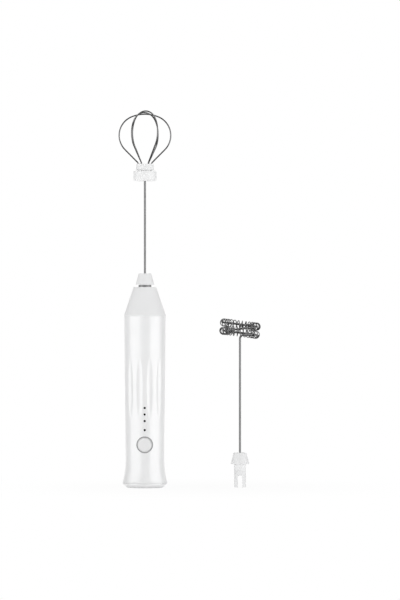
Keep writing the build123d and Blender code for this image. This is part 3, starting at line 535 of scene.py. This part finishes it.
def hand_over(name, mesh, node):
    """Finished piece that stands for a CAD node: smooth but for its sharp edges, with its finish and body."""
    piece = shown(name, mesh)
    mesh.materials.clear()
    mesh.materials.append(materials[slot_of[node]])
    mesh.shade_smooth()
    mesh.set_sharp_from_angle(angle=sharp_angle)
    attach(piece, body_of[node])
    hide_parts(node)
    print(f"{name}: {len(mesh.polygons)} faces on {body_of[node]}")


# %% [markdown]
# ## Tools for Geometry Nodes
#
# A tree starts with its geometry and its named sizes, and ends by making instances real and setting the
# material. A modifier runs it once, and the result is kept as a plain mesh.

# %% Tools for Geometry Nodes
def new_tree(name, sizes):
    """Geometry Nodes tree with a geometry input and one named input for each (name, kind)."""
    tree = bpy.data.node_groups.new(name, "GeometryNodeTree")
    tree.interface.new_socket("Geometry", in_out="INPUT", socket_type="NodeSocketGeometry")
    tree.interface.new_socket("Geometry", in_out="OUTPUT", socket_type="NodeSocketGeometry")
    for size, kind in (*sizes, ("Material", "Material")):
        tree.interface.new_socket(size, in_out="INPUT", socket_type=f"NodeSocket{kind}")
    group_input = tree.nodes.new("NodeGroupInput")
    return tree, {socket.name: Term(socket) for socket in group_input.outputs}


def end_tree(tree, geometry, given):
    """Make instances real, set the material and lead the result out."""
    real = add(tree, "GeometryNodeRealizeInstances", {"Geometry": geometry}).outputs[0]
    coat = {"Geometry": real, "Material": given["Material"]}
    coated = add(tree, "GeometryNodeSetMaterial", coat).outputs[0]
    feed(tree.nodes.new("NodeGroupOutput"), {"Geometry": coated})


def position(tree):
    """Terms for the x, y and z of a point."""
    place = add(tree, "GeometryNodeInputPosition").outputs[0]
    return [Term(part) for part in add(tree, "ShaderNodeSeparateXYZ", {"Vector": place}).outputs]


def grown(tree, mesh, sizes):
    """Plain mesh that a tree makes of a mesh and named sizes."""
    piece = shown("seed", mesh)
    modifier = piece.modifiers.new(tree.name, "NODES")
    modifier.node_group = tree
    for item in tree.interface.items_tree:
        if item.in_out == "INPUT" and item.name in sizes:
            modifier[item.identifier] = sizes[item.name]
    return baked(piece)


# %% [markdown]
# ## Handle sleeve
#
# The sleeve is one glossy tube: a slow taper, a foot that flares out in a long arc, and a band of shallow
# lens-shaped flutes. A plain tube is turned first. Geometry Nodes then press the flutes, because they repeat
# and follow a rule: a flute is deepest in its middle and runs out to nothing on an oval edge.
# The tree also slides the columns of the mesh sideways, so that a column lies on that edge and it stays
# crisp. A plain strip between two flutes faces the front, where the lamps are.

# %% Outline of the sleeve
low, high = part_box("handle_sleeve")
foot_radius = high.x
foot_height = low.z
sleeve_top = high.z
wall = 1.8 * mm
waist_radius = 12.75 * mm
waist_height = 19 * mm
sleeve_top_radius = 13.75 * mm
seam_groove = 0.2 * mm
rim = 0.25 * mm
top_round = 0.5 * mm
top_steps = 8
taper = (sleeve_top_radius - waist_radius) / (sleeve_top - waist_height)
flute_count = 12
flute_middle = 66 * mm
flute_length = 39 * mm
flute_width = 4.2 * mm
flute_depth = 0.6 * mm
rows = 72
columns = 36


def body_radius(height):
    """Outer radius of the plain sleeve above the waist."""
    return waist_radius + taper * (height - waist_height)


def foot_arc(start_radius, end_radius, steps=24):
    """Points of the arc that leaves the taper at the waist and ends at the foot."""
    start = Vector((start_radius, waist_height))
    end = Vector((end_radius, foot_height))
    outward = Vector((1, -taper)).normalized()
    chord = end - start
    arc_radius = chord.length_squared / (2 * chord.dot(outward))
    centre = start + outward * arc_radius
    sweep = (start - centre).angle(end - centre)
    points = []
    for step in range(steps + 1):
        turn = Matrix.Rotation(sweep * step / steps, 2)
        points.append(centre + turn @ (start - centre))
    return points


outside = foot_arc(waist_radius, foot_radius)[::-1]
outside[0] = Vector((foot_radius, foot_height + rim))
for row in range(rows + 1):
    height = flute_middle - flute_length / 2 * cos(pi * row / rows)
    outside.append(Vector((body_radius(height), height)))
for step in range(top_steps + 1):
    angle = pi / 2 * step / top_steps
    in_from_wall = seam_groove * (1 - cos(angle))
    down_from_top = top_round * (1 - sin(angle))
    outside.append(Vector((sleeve_top_radius - in_from_wall, sleeve_top - down_from_top)))
inside = [Vector((sleeve_top_radius - wall, sleeve_top))]
inside += foot_arc(waist_radius - wall, foot_radius - wall)
inside.append(Vector((foot_radius - rim, foot_height)))
sleeve_tube = turned("handle_sleeve", outside + inside, segments=flute_count * columns)
print(len(outside), "rows outside,", flute_count * columns, "columns")

# %% Flutes
flute_columns = 22
inner_share = flute_columns / columns
narrowest = 0.2 * mm
ease_end = 1.4
flute_sizes = {
    "Count": float(flute_count),
    "Middle": flute_middle,
    "Length": flute_length,
    "Width": flute_width,
    "Depth": flute_depth,
    "Radius": body_radius(flute_middle),
    "Taper": taper,
    "Wall": wall,
}
tree, given = new_tree("press_flutes", [(size, "Float") for size in flute_sizes])
x, y, z = position(tree)
radius = (x * x + y * y).then("SQRT")
bearing = x.then("ARCTAN2", y * -1.0)
half_sector = calc(tree, "DIVIDE", pi, given["Count"])
sector = half_sector * 2.0
flute_bearing = (bearing / sector).then("FLOOR") * sector + half_sector
across = (bearing - flute_bearing) / half_sector
across_size = across.then("ABSOLUTE")
above = z - given["Middle"]
rise = above / (given["Length"] * 0.5)
room_left = calc(tree, "SUBTRACT", 1.0, rise * rise)
half_width = given["Width"] * 0.5
half_oval = room_left.then("MAXIMUM", 0.0).then("SQRT") * half_width
oval_edge = half_oval.then("MAXIMUM", narrowest) / given["Radius"]
past_end = rise.then("ABSOLUTE").spread(0.0, 1.0, 1.0, ease_end, soft_ends=True)
flute_edge = oval_edge + past_end * (half_sector * inner_share - oval_edge)
in_flute = across_size / inner_share * flute_edge
strip_share = (across_size - inner_share) / (1 - inner_share)
on_strip = flute_edge + strip_share * (half_sector - flute_edge)
swing = in_flute + across_size.then("GREATER_THAN", inner_share) * (on_strip - in_flute)
swing_share = swing * given["Radius"] / half_width
hollow = (room_left - swing_share * swing_share).then("MAXIMUM", 0.0) * given["Depth"]
body_here = given["Radius"] + given["Taper"] * above
is_outside = radius.then("GREATER_THAN", body_here - given["Wall"] * 0.5)
new_radius = radius - hollow * is_outside
new_bearing = flute_bearing + swing * across.then("SIGN")
new_x = new_radius * new_bearing.then("SINE")
new_y = new_radius * new_bearing.then("COSINE") * -1.0
new_place = add(tree, "ShaderNodeCombineXYZ", {"X": new_x, "Y": new_y, "Z": z}).outputs[0]
moved = {"Geometry": given["Geometry"], "Position": new_place}
end_tree(tree, add(tree, "GeometryNodeSetPosition", moved).outputs[0], given)
fluted_tube = grown(tree, sleeve_tube, {**flute_sizes, "Material": materials["shell_white"]})
print(flute_count, "flutes", flute_depth / mm, "mm deep")

# %% Holes for the button and the lamps
button_low, button_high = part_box("button_ring")
ring_outer = (button_high.x - button_low.x) / 2
button_height = (button_high.z + button_low.z) / 2
hole_fit = 0.02 * mm
lamp_count = 4
lamp_radius = 0.75 * mm
lamp_chamfer = 0.15 * mm
lamp_base = button_height + 9.7 * mm
lamp_gap = 6.0 * mm
lamp_pitch = 4.3 * mm
lamp_heights = [lamp_base]
lamp_heights += [lamp_base + lamp_gap + step * lamp_pitch for step in range(lamp_count - 1)]
to_front = Matrix.Rotation(radians(90), 4, "X")


def front_hole(radius, height, chamfer, segments=32):
    """Bar that cuts a round hole in the front of the sleeve at a height, with a chamfer round its mouth."""
    start = waist_radius - 3 * wall
    mouth = body_radius(height) - chamfer
    end = foot_radius + wall
    flared = radius + (end - mouth if chamfer else 0)
    corners = [(0, start), (radius, start), (radius, mouth), (flared, end), (0, end)]
    bar = turned("bar", corners, segments=segments)
    bar.transform(Matrix.Translation((0, 0, height)) @ to_front)
    return bar


holes = [front_hole(ring_outer + hole_fit, button_height, chamfer=0, segments=96)]
holes += [front_hole(lamp_radius + hole_fit, height, lamp_chamfer) for height in lamp_heights]
hand_over("handle_sleeve_fluted", cut(fluted_tube, holes), "handle_sleeve")

# %% [markdown]
# ## Base cap
#
# A shallow dish closes the foot. Its rim is bevelled, so the handle seems to float on a shadow line, and its
# underside has the slot of the charging port and two sunk screw holes.

# %% Base cap
cap_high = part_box("base_cap")[1]
cap_radius = cap_high.x
lip_top = cap_high.z
cap_floor = 2.4 * mm
cap_seam = 0.18 * mm
cap_shadow = 0.35 * mm
cap_slope = 2.3 * mm
cap_toe = 0.4 * mm
cap_rise = 1.9 * mm
cap_round = 0.15 * mm
seam_round = 0.05 * mm
lip_radius = 12.478 * mm
lip_inner = lip_radius - 1.4 * mm
cap_corners = [
    (0, 0),
    (cap_radius - cap_slope - cap_toe, 0, cap_round),
    (cap_radius - cap_slope, cap_toe, cap_round),
    (cap_radius, cap_toe + cap_rise, cap_round),
    (cap_radius, foot_height - cap_seam, seam_round),
    (cap_radius - cap_shadow, foot_height - cap_seam),
    (cap_radius - cap_shadow, foot_height),
    (lip_radius, foot_height),
    (lip_radius, lip_top, cap_round),
    (lip_inner, lip_top, cap_round),
    (lip_inner, cap_floor),
    (0, cap_floor),
]
port_low, port_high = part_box("charge_port")
port_gap = 0.3 * mm
port_end = (port_high.y - port_low.y) / 2 + port_gap
port_run = (port_high.x - port_low.x) / 2 + port_gap - port_end
port_y = (port_high.y + port_low.y) / 2
screw_x = 7 * mm
screw_y = 3.5 * mm
screw_places = [(-screw_x, screw_y), (screw_x, screw_y)]
head_hole_radius = 2.0 * mm
head_hole_depth = 1.3 * mm
screw_hole_radius = 1.1 * mm
port_step = 11.25
past = 1 * mm


def screw_hole(x, y):
    """Stepped bar for a sunk screw."""
    cap_top = cap_floor + past
    corners = [(0, -past), (head_hole_radius, -past), (head_hole_radius, head_hole_depth)]
    corners += [(screw_hole_radius, head_hole_depth), (screw_hole_radius, cap_top), (0, cap_top)]
    hole = turned("screw_hole", corners, segments=64)
    hole.transform(Matrix.Translation((x, y, 0)))
    return hole


port_outline = []
for side in (1, -1):
    port_outline += arc((side * port_run, port_y), port_end, side * 90, -180, port_step)
cap_cuts = [prism("port_slot", port_outline, -past, cap_floor + past)]
cap_cuts += [screw_hole(x, y) for x, y in screw_places]
cap_mesh = cut(turned("base_cap", cap_corners), cap_cuts)
hand_over("base_cap_moulded", cap_mesh, "base_cap")

# %% [markdown]
# ## Nose
#
# A satin cone closes the top of the sleeve. It is turned with its spigot, its socket and the seat of the
# shaft seal. A thin steel ring lines the socket. Its dark tone is partly painted shade: it stands in for the
# shadow in the narrow gap under the whisk's own cone.

# %% Nose cone and its ring
nose_low, nose_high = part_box("nose_cone")
nose_top = nose_high.z
spigot_bottom = nose_low.z
bush_low, bush_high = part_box("nose_bush")
bush_outer = bush_high.x
bush_inner = bush_outer - 0.25 * mm
bush_gap = 0.1 * mm
bush_edge = 0.08 * mm
stem_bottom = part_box("whisk_coupling")[0].z
seal_low, seal_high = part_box("shaft_seal")
nose_top_radius = 7.45 * mm
nose_band = 0.8 * mm
nose_round = 0.4 * mm
spigot_outer = body_radius(spigot_bottom) - wall - 0.1 * mm
spigot_inner = spigot_outer - 1.5 * mm
socket_radius = bush_outer + hole_fit
socket_outer = socket_radius + 1.6 * mm
socket_floor = stem_bottom - 0.6 * mm
socket_round = 0.3 * mm
shaft_hole = 1.6 * mm
seal_radius = seal_high.x + hole_fit
shoulder = sleeve_top + nose_band
slope = (sleeve_top_radius - nose_top_radius) / (nose_top - shoulder)
skin = wall * sqrt(1 + slope**2)
shoulder_round = (nose_band - seam_groove - hole_fit) / tan(atan(slope) / 2)
roof_radius = nose_top_radius - skin + slope * wall


def cone_inside(radius):
    """Height at which the inside of the cone has a radius."""
    return nose_top - (radius + skin - nose_top_radius) / slope


nose_corners = [
    (spigot_outer, spigot_bottom, soft),
    (spigot_outer, sleeve_top),
    (sleeve_top_radius - seam_groove, sleeve_top),
    (sleeve_top_radius, sleeve_top + seam_groove),
    (sleeve_top_radius, shoulder, shoulder_round),
    (nose_top_radius, nose_top, nose_round),
    (socket_radius, nose_top, crisp),
    (socket_radius, bush_low.z - bush_gap),
    (bush_inner + bush_gap, bush_low.z - bush_gap),
    (bush_inner + bush_gap, socket_floor, socket_round),
    (shaft_hole, socket_floor, crisp),
    (shaft_hole, seal_high.z),
    (seal_radius, seal_high.z),
    (seal_radius, seal_low.z),
    (socket_outer, seal_low.z, soft),
    (socket_outer, cone_inside(roof_radius)),
    (roof_radius, cone_inside(roof_radius)),
    (spigot_inner, cone_inside(spigot_inner)),
    (spigot_inner, spigot_bottom),
]
hand_over("nose_cone_moulded", turned("nose_cone", nose_corners, steps=8), "nose_cone")
bush_corners = [
    (bush_inner, bush_low.z),
    (bush_outer, bush_low.z),
    (bush_outer, bush_high.z, bush_edge),
    (bush_inner, bush_high.z, bush_edge),
]
hand_over("nose_bush_ring", turned("nose_bush", bush_corners, steps=4), "nose_bush")

# %% [markdown]
# ## Button and its ring
#
# Both are turned about an axis that points to the front, and then bent to the curve of the sleeve: each point
# of the face moves back by as much as the sleeve falls away at its place.

# %% Button and its ring
button_low, button_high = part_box("power_button")
button_radius = 4.85 * mm
button_edge = 0.3 * mm
button_back = -button_high.y
button_face = -button_low.y
flange_radius = (button_high.x - button_low.x) / 2
flange_front = button_back + 0.7 * mm
ring_inner = button_radius + 0.15 * mm
ring_back = flange_front + 0.1 * mm
ring_face = body_radius(button_height) + 0.1 * mm
ring_outer_round = 0.12 * mm
dish = 0.12 * mm
dish_rings = 10


def bend_to_sleeve(mesh, behind, face_radius):
    """Turn a piece to the front and bend all that lies before a depth to the sleeve's curve."""
    mesh.transform(Matrix.Translation((0, 0, button_height)) @ to_front)
    for vertex in mesh.vertices:
        if -vertex.co.y > behind + hole_fit:
            vertex.co.y += face_radius - sqrt(face_radius**2 - vertex.co.x**2)
    return mesh


button_corners = [
    (0, button_back),
    (flange_radius, button_back),
    (flange_radius, flange_front, crisp),
    (button_radius, flange_front),
    (button_radius, button_face, button_edge),
]
button_outline = rounded(button_corners, steps=8)
for step in range(dish_rings):
    from_centre = 1 - (step + 1) / dish_rings
    fall = dish * (1 - from_centre**2)
    button_outline.append(Vector(((button_radius - button_edge) * from_centre, button_face - fall)))
button_mesh = bend_to_sleeve(turned("power_button", button_outline, segments=96), flange_front, button_face)
hand_over("power_button_cap", button_mesh, "power_button")
ring_corners = [
    (ring_inner, ring_back),
    (ring_outer, ring_back),
    (ring_outer, ring_face, ring_outer_round),
    (ring_inner, ring_face, soft),
]
ring_mesh = turned("button_ring", ring_corners, steps=5, segments=128)
ring_mesh = bend_to_sleeve(ring_mesh, ring_back, ring_face)
hand_over("button_ring_turned", ring_mesh, "button_ring")
print(f"button {2 * button_radius / mm:.1f} mm across at {button_height / mm:.1f} mm")

# %% [markdown]
# ## Lamp windows
#
# Four round windows light up one by one. They are the ends of short black pins on a strip behind the sleeve.
# The pins repeat, so Geometry Nodes put one on each point of a line. The same small tree is used again below
# for the screws of the base.

# %% A tree that copies one item to points
copy_tree, given = new_tree("copy_to_points", [("Item", "Object")])
item_info = add(copy_tree, "GeometryNodeObjectInfo", {"Object": given["Item"], "As Instance": True})
on_points = {"Points": given["Geometry"], "Instance": item_info.outputs["Geometry"]}
end_tree(copy_tree, add(copy_tree, "GeometryNodeInstanceOnPoints", on_points).outputs[0], given)


def copies(item_mesh, places, slot):
    """Mesh of one item copied to places."""
    points = bpy.data.meshes.new("points")
    points.from_pydata(places, [], [])
    item_piece = shown("item", item_mesh)
    mesh = grown(copy_tree, points, {"Item": item_piece, "Material": materials[slot]})
    bpy.data.objects.remove(item_piece)
    return mesh


# %% Lamp windows
guide_low, guide_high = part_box("light_guide")
strip_back = -guide_high.y
strip_front = strip_back + 1.0 * mm
strip_half = (guide_high.x - guide_low.x) / 2
pin_length = body_radius(lamp_base) - lamp_chamfer - strip_front
pin_dome = 0.03 * mm
pin_corners = [(0, 0), (lamp_radius, 0), (lamp_radius, pin_length, crisp)]
pin_outline = rounded(pin_corners, steps=4) + [(0, pin_length + pin_dome)]
pin = turned("window_pin", pin_outline, segments=32)
pin.transform(to_front)
pin_places = [(0, pin_length - body_radius(height) + lamp_chamfer, height) for height in lamp_heights]
strip_outline = [(side * strip_half, -strip_front) for side in (-1, 1)]
strip_outline += [(side * strip_half, -strip_back) for side in (1, -1)]
build = bmesh.new()
build.from_mesh(copies(pin, pin_places, "lens_black"))
build.from_mesh(prism("strip", strip_outline, guide_low.z, guide_high.z))
hand_over("lamp_windows", closed_mesh("light_guide", build), "light_guide")

# %% [markdown]
# ## Couplings of the two heads
#
# Both heads plug into the nose with the same moulded piece: a cone to hold and a hollow stem with two slots
# that drop over a cross bar. One function turns it and cuts the slots, once in the nose and once on the
# table.

# %% Couplings
stem_radius = 3.9 * mm
stem_length = 15.5 * mm
stem_bore = 2.1 * mm
stem_slot = 2.9 * mm
stem_slot_height = 8.0 * mm
slot_step = 7.5
stem_round = 0.35 * mm
cone_radius = 6.1 * mm
cone_top_radius = 4.2 * mm
cone_height = 7.5 * mm
cone_edge = 0.5 * mm
cone_round = 0.15 * mm
cone_top_round = 0.5 * mm
rod_radius = 0.7 * mm
rod_root = 9.5 * mm
bore_web = 1.0 * mm
cone_end = stem_length + cone_height
rod_hole = cone_end - rod_root
rod_bore = rod_radius + hole_fit
coupling_corners = [
    (stem_bore, 0, soft),
    (stem_radius, 0, stem_round),
    (stem_radius, stem_length, crisp),
    (cone_radius, stem_length, cone_round),
    (cone_radius, stem_length + cone_edge, soft),
    (cone_top_radius, cone_end, cone_top_round),
    (rod_bore, cone_end, crisp),
    (rod_bore, rod_hole),
    (0, rod_hole),
    (0, rod_hole - bore_web),
    (stem_bore, rod_hole - bore_web),
]


def slot_cutter():
    """Flat bar with a round top, through the stem from front to back."""
    half = stem_slot / 2
    outline = [(-half, -past), (half, -past)]
    outline += arc((0, stem_slot_height - half), half, 0, 180, slot_step)
    bar = prism("slot", outline, -cone_radius, cone_radius)
    bar.transform(to_front)
    return bar


def coupling(name):
    """Cone and slotted stem that stand where the CAD node of that name stands."""
    low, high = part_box(name)
    mesh = cut(turned(name, coupling_corners), [slot_cutter()])
    mesh.transform(Matrix.Translation(((low.x + high.x) / 2, 0, low.z)))
    return mesh


hand_over("whisk_coupling_moulded", coupling("whisk_coupling"), "whisk_coupling")
hand_over("froth_coupling_moulded", coupling("froth_coupling"), "froth_coupling")

# %% [markdown]
# ## Hub of the balloon whisk
#
# The rod ends in a round hub with a soft lower edge. A narrower ring sits on it, and six small holes in that
# ring take the ends of the wires. Both have the handle's finish with a duller skin: an attribute on their
# points tells the finish by how much.

# %% Hub
hub_low, hub_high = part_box("whisk_hub_base")
collar_low, collar_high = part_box("whisk_hub_collar")
hub_dullness = 0.25
hub_radius = hub_high.x
hub_top = collar_low.z
hub_foot_round = 1.2 * mm
hub_round = 0.5 * mm
spindle_radius = 2.0 * mm
spindle_top = hub_high.z
rod_top = hub_top + (spindle_top - hub_top) / 2
hub_corners = [
    (rod_bore, hub_low.z, crisp),
    (hub_radius, hub_low.z, hub_foot_round),
    (hub_radius, hub_top, hub_round),
    (spindle_radius, hub_top),
    (spindle_radius, spindle_top, soft),
    (0, spindle_top),
    (0, rod_top + hole_fit),
    (rod_bore, rod_top + hole_fit),
]


def dulled(mesh):
    """Mesh that notes how much duller its skin is than the handle's."""
    dullness = mesh.attributes.new("dull", "FLOAT", "POINT")
    for point in dullness.data:
        point.value = hub_dullness
    return mesh


hub_mesh = dulled(turned("whisk_hub_base", hub_corners, steps=8))
hand_over("whisk_hub_moulded", hub_mesh, "whisk_hub_base")

# %% Ring of the hub
collar_radius = collar_high.x
collar_top = collar_high.z
collar_bore = spindle_radius + 0.1 * mm
collar_roof = spindle_top + 0.1 * mm
neck_radius = collar_radius - 0.8 * mm
neck_top = hub_top + 0.85 * mm
collar_corners = [
    (collar_bore, hub_top),
    (neck_radius, hub_top),
    (neck_radius, neck_top),
    (collar_radius, neck_top, crisp),
    (collar_radius, collar_top, hub_round),
    (0, collar_top),
    (0, collar_roof),
    (collar_bore, collar_roof),
]
loop_count = 3
loop_wire = 0.45 * mm
wire_radius = 4.5 * mm
wire_depth = collar_top - hub_top - 0.5 * mm
hole_bottom = collar_top - wire_depth
hole_radius = loop_wire + hole_fit
hole_outline = [(0, hole_bottom), (hole_radius, hole_bottom)]
hole_outline += [(hole_radius, collar_top + past), (0, collar_top + past)]
wire_holes = []
for index in range(2 * loop_count):
    angle = pi * index / loop_count
    hole = turned("wire_hole", hole_outline, segments=32)
    hole.transform(Matrix.Translation((wire_radius * cos(angle), wire_radius * sin(angle), 0)))
    wire_holes.append(hole)
collar_mesh = dulled(cut(turned("whisk_hub_collar", collar_corners), wire_holes))
hand_over("whisk_collar_moulded", collar_mesh, "whisk_hub_collar")

# %% [markdown]
# ## Bent wire
#
# A rod, a whisk loop and the core of the ring are all one thing: a round wire that follows a path. The path
# is a chain of points worked out from lines and arcs. A Geometry Nodes tree turns it into a tube with closed
# ends and notes how far along and around each point lies, for the scratches of the drawn wire.

# %% A tree that draws wire along a path
wire_sizes = [("Wire radius", "Float"), ("Sides", "Int")]


def note(tree, curve, name, value):
    """Keep a value on the points of a curve under a name that the finish reads."""
    kept = {"Geometry": curve, "Name": name, "Value": value}
    stored = add(tree, "GeometryNodeStoreNamedAttribute", kept, data_type="FLOAT", domain="POINT")
    return stored.outputs["Geometry"]


def draw_tube(tree, curve, given):
    """Round tube along a curve, with closed ends."""
    measure = add(tree, "GeometryNodeSplineParameter").outputs
    path = note(tree, curve, "along", measure["Length"])
    circle_sizes = {"Resolution": given["Sides"], "Radius": given["Wire radius"]}
    circle = add(tree, "GeometryNodeCurvePrimitiveCircle", circle_sizes).outputs["Curve"]
    section = note(tree, circle, "around", measure["Factor"])
    tube = {"Curve": path, "Profile Curve": section, "Fill Caps": True}
    return add(tree, "GeometryNodeCurveToMesh", tube).outputs["Mesh"]


def path_of(tree, given):
    """Curve along the chain of edges that a tree is given."""
    return add(tree, "GeometryNodeMeshToCurve", {"Mesh": given["Geometry"]}).outputs["Curve"]


wire_tree, given = new_tree("draw_wire", wire_sizes)
end_tree(wire_tree, draw_tube(wire_tree, path_of(wire_tree, given), given), given)


# %% Wires
def path_mesh(points):
    """Chain of edges through points, for a tree to follow."""
    chain = bpy.data.meshes.new("path")
    edges = [(index, index + 1) for index in range(len(points) - 1)]
    chain.from_pydata([tuple(point) for point in points], edges, [])
    return chain


def wire(points, radius, sides=20):
    """Mesh of a round wire along points."""
    sizes = {"Wire radius": radius, "Sides": sides, "Material": materials["bright_steel"]}
    return grown(wire_tree, path_mesh(points), sizes)


# %% Rod of the balloon whisk
low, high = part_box("whisk_shaft")
rod_mesh = wire([(0, 0, low.z), (0, 0, high.z)], rod_radius, sides=32)
hand_over("whisk_rod", rod_mesh, "whisk_shaft")

# %% [markdown]
# ## Balloon
#
# Three loops cross at the top, each one wire's thickness above the one before. Half a loop is a foot in the
# ring, a small bend, a straight leg, a round shoulder and a flatter crown, and each runs into the next
# without a corner. The other half is its mirror image.

# %% Balloon loops
wire_bend = 1.6 * mm
balloon_radius = 17.1 * mm
shoulder_radius = 13.4 * mm
crown_radius = 23.5 * mm
crown_height = 33.0 * mm
loop_gap = 0.15 * mm
loop_step = 2 * loop_wire + loop_gap


def loop_half(lift):
    """Points (x, height above the ring) of half a loop, from its foot to the middle of its crown."""
    crown_centre = crown_height + lift - crown_radius
    shoulder_x = balloon_radius - shoulder_radius
    shoulder_rise = sqrt((crown_radius - shoulder_radius) ** 2 - shoulder_x**2)
    shoulder_height = crown_centre + shoulder_rise
    crown_angle = degrees(atan2(shoulder_rise, shoulder_x))
    bend_x = wire_radius + wire_bend
    centre_angle = atan2(shoulder_height, shoulder_x - bend_x)
    centre_distance = hypot(shoulder_height, shoulder_x - bend_x)
    leg_angle = degrees(centre_angle - asin((shoulder_radius + wire_bend) / centre_distance))
    bend_sweep = 90 - leg_angle
    points = [Vector((wire_radius, -wire_depth))]
    points += arc((bend_x, 0), wire_bend, 180, -bend_sweep, step_size=10)
    points += arc((shoulder_x, shoulder_height), shoulder_radius, -bend_sweep, crown_angle + bend_sweep)
    points += arc((0, crown_centre), crown_radius, crown_angle, 90 - crown_angle)[1:]
    return points


for index in range(loop_count):
    half = loop_half(index * loop_step)
    whole = half + [Vector((-point.x, point.y)) for point in half[-2::-1]]
    angle = pi * index / loop_count
    points = [(p.x * cos(angle), p.x * sin(angle), collar_top + p.y) for p in whole]
    node = f"whisk_loop_{index + 1}"
    hand_over(f"balloon_loop_{index + 1}", wire(points, loop_wire), node)

# %% [markdown]
# ## Ring of the second head
#
# The rod bends out to the rim and then climbs round the axis one and a half times, as a chain of tilted half
# circles. A fine spring is threaded on it.

# %% Core of the ring
core_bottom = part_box("froth_wire")[0].z
froth_low, froth_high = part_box("froth_coupling")
froth_x = (froth_low.x + froth_high.x) / 2
froth_rod = 75.5 * mm
rod_bend = 2.5 * mm
ring_bend = 2.5 * mm
ring_radius = 11.1 * mm
ring_halves = 3
ring_steps = 48
ring_gap = 0.2 * mm
coil_radius = 2.4 * mm
coil_wire = 0.3 * mm
ring_height = froth_high.z + froth_rod + rod_bend
half_rise = coil_radius + coil_wire + ring_gap / 2
half_radius = hypot(ring_radius, half_rise / 2)
spoke_angle = asin(ring_bend / (ring_radius - ring_bend))
spoke = Vector((cos(spoke_angle), -sin(spoke_angle), 0))
ring_centre = Vector((froth_x, 0, ring_height))


def ring_end(index):
    """Where one half circle of the ring ends and the next begins."""
    return ring_centre + Vector(((-1) ** index * ring_radius, 0, index * half_rise))


def ring_point(along):
    """Point on the ring, counted in half circles from its beginning."""
    index = max(0, min(ring_halves - 1, int(along)))
    middle = (ring_end(index) + ring_end(index + 1)) / 2
    angle = (along - index) * pi
    sideways = Vector((0, (-1) ** index * half_radius * sin(angle), 0))
    return middle + (ring_end(index) - middle) * cos(angle) + sideways


rim_sweep = 90 + degrees(spoke_angle)
core = [(froth_x, 0, core_bottom)]
for p in arc((rod_bend, -rod_bend), rod_bend, 180, -90, step_size=6):
    core.append(ring_centre + spoke * p.x + Vector((0, 0, p.y)))
for p in arc((ring_radius - ring_bend, 0), ring_bend, -rim_sweep, rim_sweep, step_size=8):
    core.append(ring_centre + Vector((p.x, p.y, 0)))
core += [ring_point(step / ring_steps) for step in range(1, ring_halves * ring_steps + 1)]
hand_over("froth_core", wire(core, rod_radius, sides=24), "froth_wire")

# %% [markdown]
# ### Spring
#
# The spring is a wire that winds round the ring's path. In Geometry Nodes each point of the path moves away
# from it by the coil's radius, in a direction that turns with every step: outwards and upwards in turn. Its
# first and last turns close in on the core and grip it.

# %% Spring
coil_pitch = 2.55 * mm
coil_margin = 0.02
coil_lead = 0.75
coil_fit = 0.1 * mm
coil_span = ring_halves - 2 * coil_margin
coil_turns = round(coil_span * pi * half_radius / coil_pitch)
coil_steps = 28
path_steps = 240
spring_sizes = {
    "Turns": float(coil_turns),
    "Coil radius": coil_radius,
    "Grip radius": rod_radius + coil_wire + coil_fit,
    "Lead": coil_lead,
    "Axis X": froth_x,
}
inputs = [(size, "Float") for size in spring_sizes] + [("Points", "Int")] + wire_sizes
tree, given = new_tree("wind_spring", inputs)
even = {"Curve": path_of(tree, given), "Count": given["Points"]}
even_path = add(tree, "GeometryNodeResampleCurve", even).outputs["Curve"]
turn = Term(add(tree, "GeometryNodeSplineParameter").outputs["Factor"]) * given["Turns"]
angle = turn * (2 * pi)
to_end = turn.then("MINIMUM", given["Turns"] - turn)
opening = (to_end / given["Lead"]).then("MINIMUM", 1.0)
reach = given["Grip radius"] + opening * (given["Coil radius"] - given["Grip radius"])
x, y, z = position(tree)
level = add(tree, "ShaderNodeCombineXYZ", {"X": x - given["Axis X"], "Y": y}).outputs[0]
ahead = add(tree, "GeometryNodeInputTangent").outputs[0]
outward = vector_calc(tree, "NORMALIZE", level)
upward = vector_calc(tree, "NORMALIZE", vector_calc(tree, "CROSS_PRODUCT", ahead, outward))
out_move = vector_calc(tree, "SCALE", outward, Scale=reach * angle.then("COSINE"))
up_move = vector_calc(tree, "SCALE", upward, Scale=reach * angle.then("SINE"))
moved = {"Geometry": even_path, "Offset": vector_calc(tree, "ADD", out_move, up_move)}
wound = add(tree, "GeometryNodeSetPosition", moved).outputs[0]
end_tree(tree, draw_tube(tree, wound, given), given)
ring_path = [ring_point(coil_margin + coil_span * step / path_steps) for step in range(path_steps + 1)]
counts = {"Points": coil_turns * coil_steps + 1, "Sides": 10}
made_of = {"Wire radius": coil_wire, "Material": materials["bright_steel"]}
spring_mesh = grown(tree, path_mesh(ring_path), {**spring_sizes, **counts, **made_of})
hand_over("froth_spring_coil", spring_mesh, "froth_spring")
print(coil_turns, "turns of wire", 2 * coil_wire / mm, "mm thick")

# %% [markdown]
# ## Under the foot
#
# Two pan-head screws with a cross recess hold the base cap. They repeat, so the copying tree sets them in
# place.

# %% Base screws
screw_low, screw_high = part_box("base_screws")
screw_top = screw_high.z
head_low = screw_low.z
head_top = head_low + 1.2 * mm
head_radius = 1.9 * mm
head_round = 0.35 * mm
shank_radius = 1.0 * mm
tip_round = 0.3 * mm
recess_depth = 0.7 * mm
recess_long = 1.1 * mm
recess_thin = 0.28 * mm
screw_corners = [
    (0, head_low),
    (head_radius, head_low, head_round),
    (head_radius, head_top),
    (shank_radius, head_top),
    (shank_radius, screw_top, tip_round),
    (0, screw_top),
]
cross = []
for long, thin in ((recess_long, recess_thin), (recess_thin, recess_long)):
    corners = [(-long, -thin), (long, -thin), (long, thin), (-long, thin)]
    cross.append(prism("recess", corners, head_low - past, head_low + recess_depth))
screw_mesh = cut(turned("screw", screw_corners, segments=48), cross)
screws = copies(screw_mesh, [(x, y, 0) for x, y in screw_places], "screw_steel")
hand_over("base_screws_pan_head", screws, "base_screws")
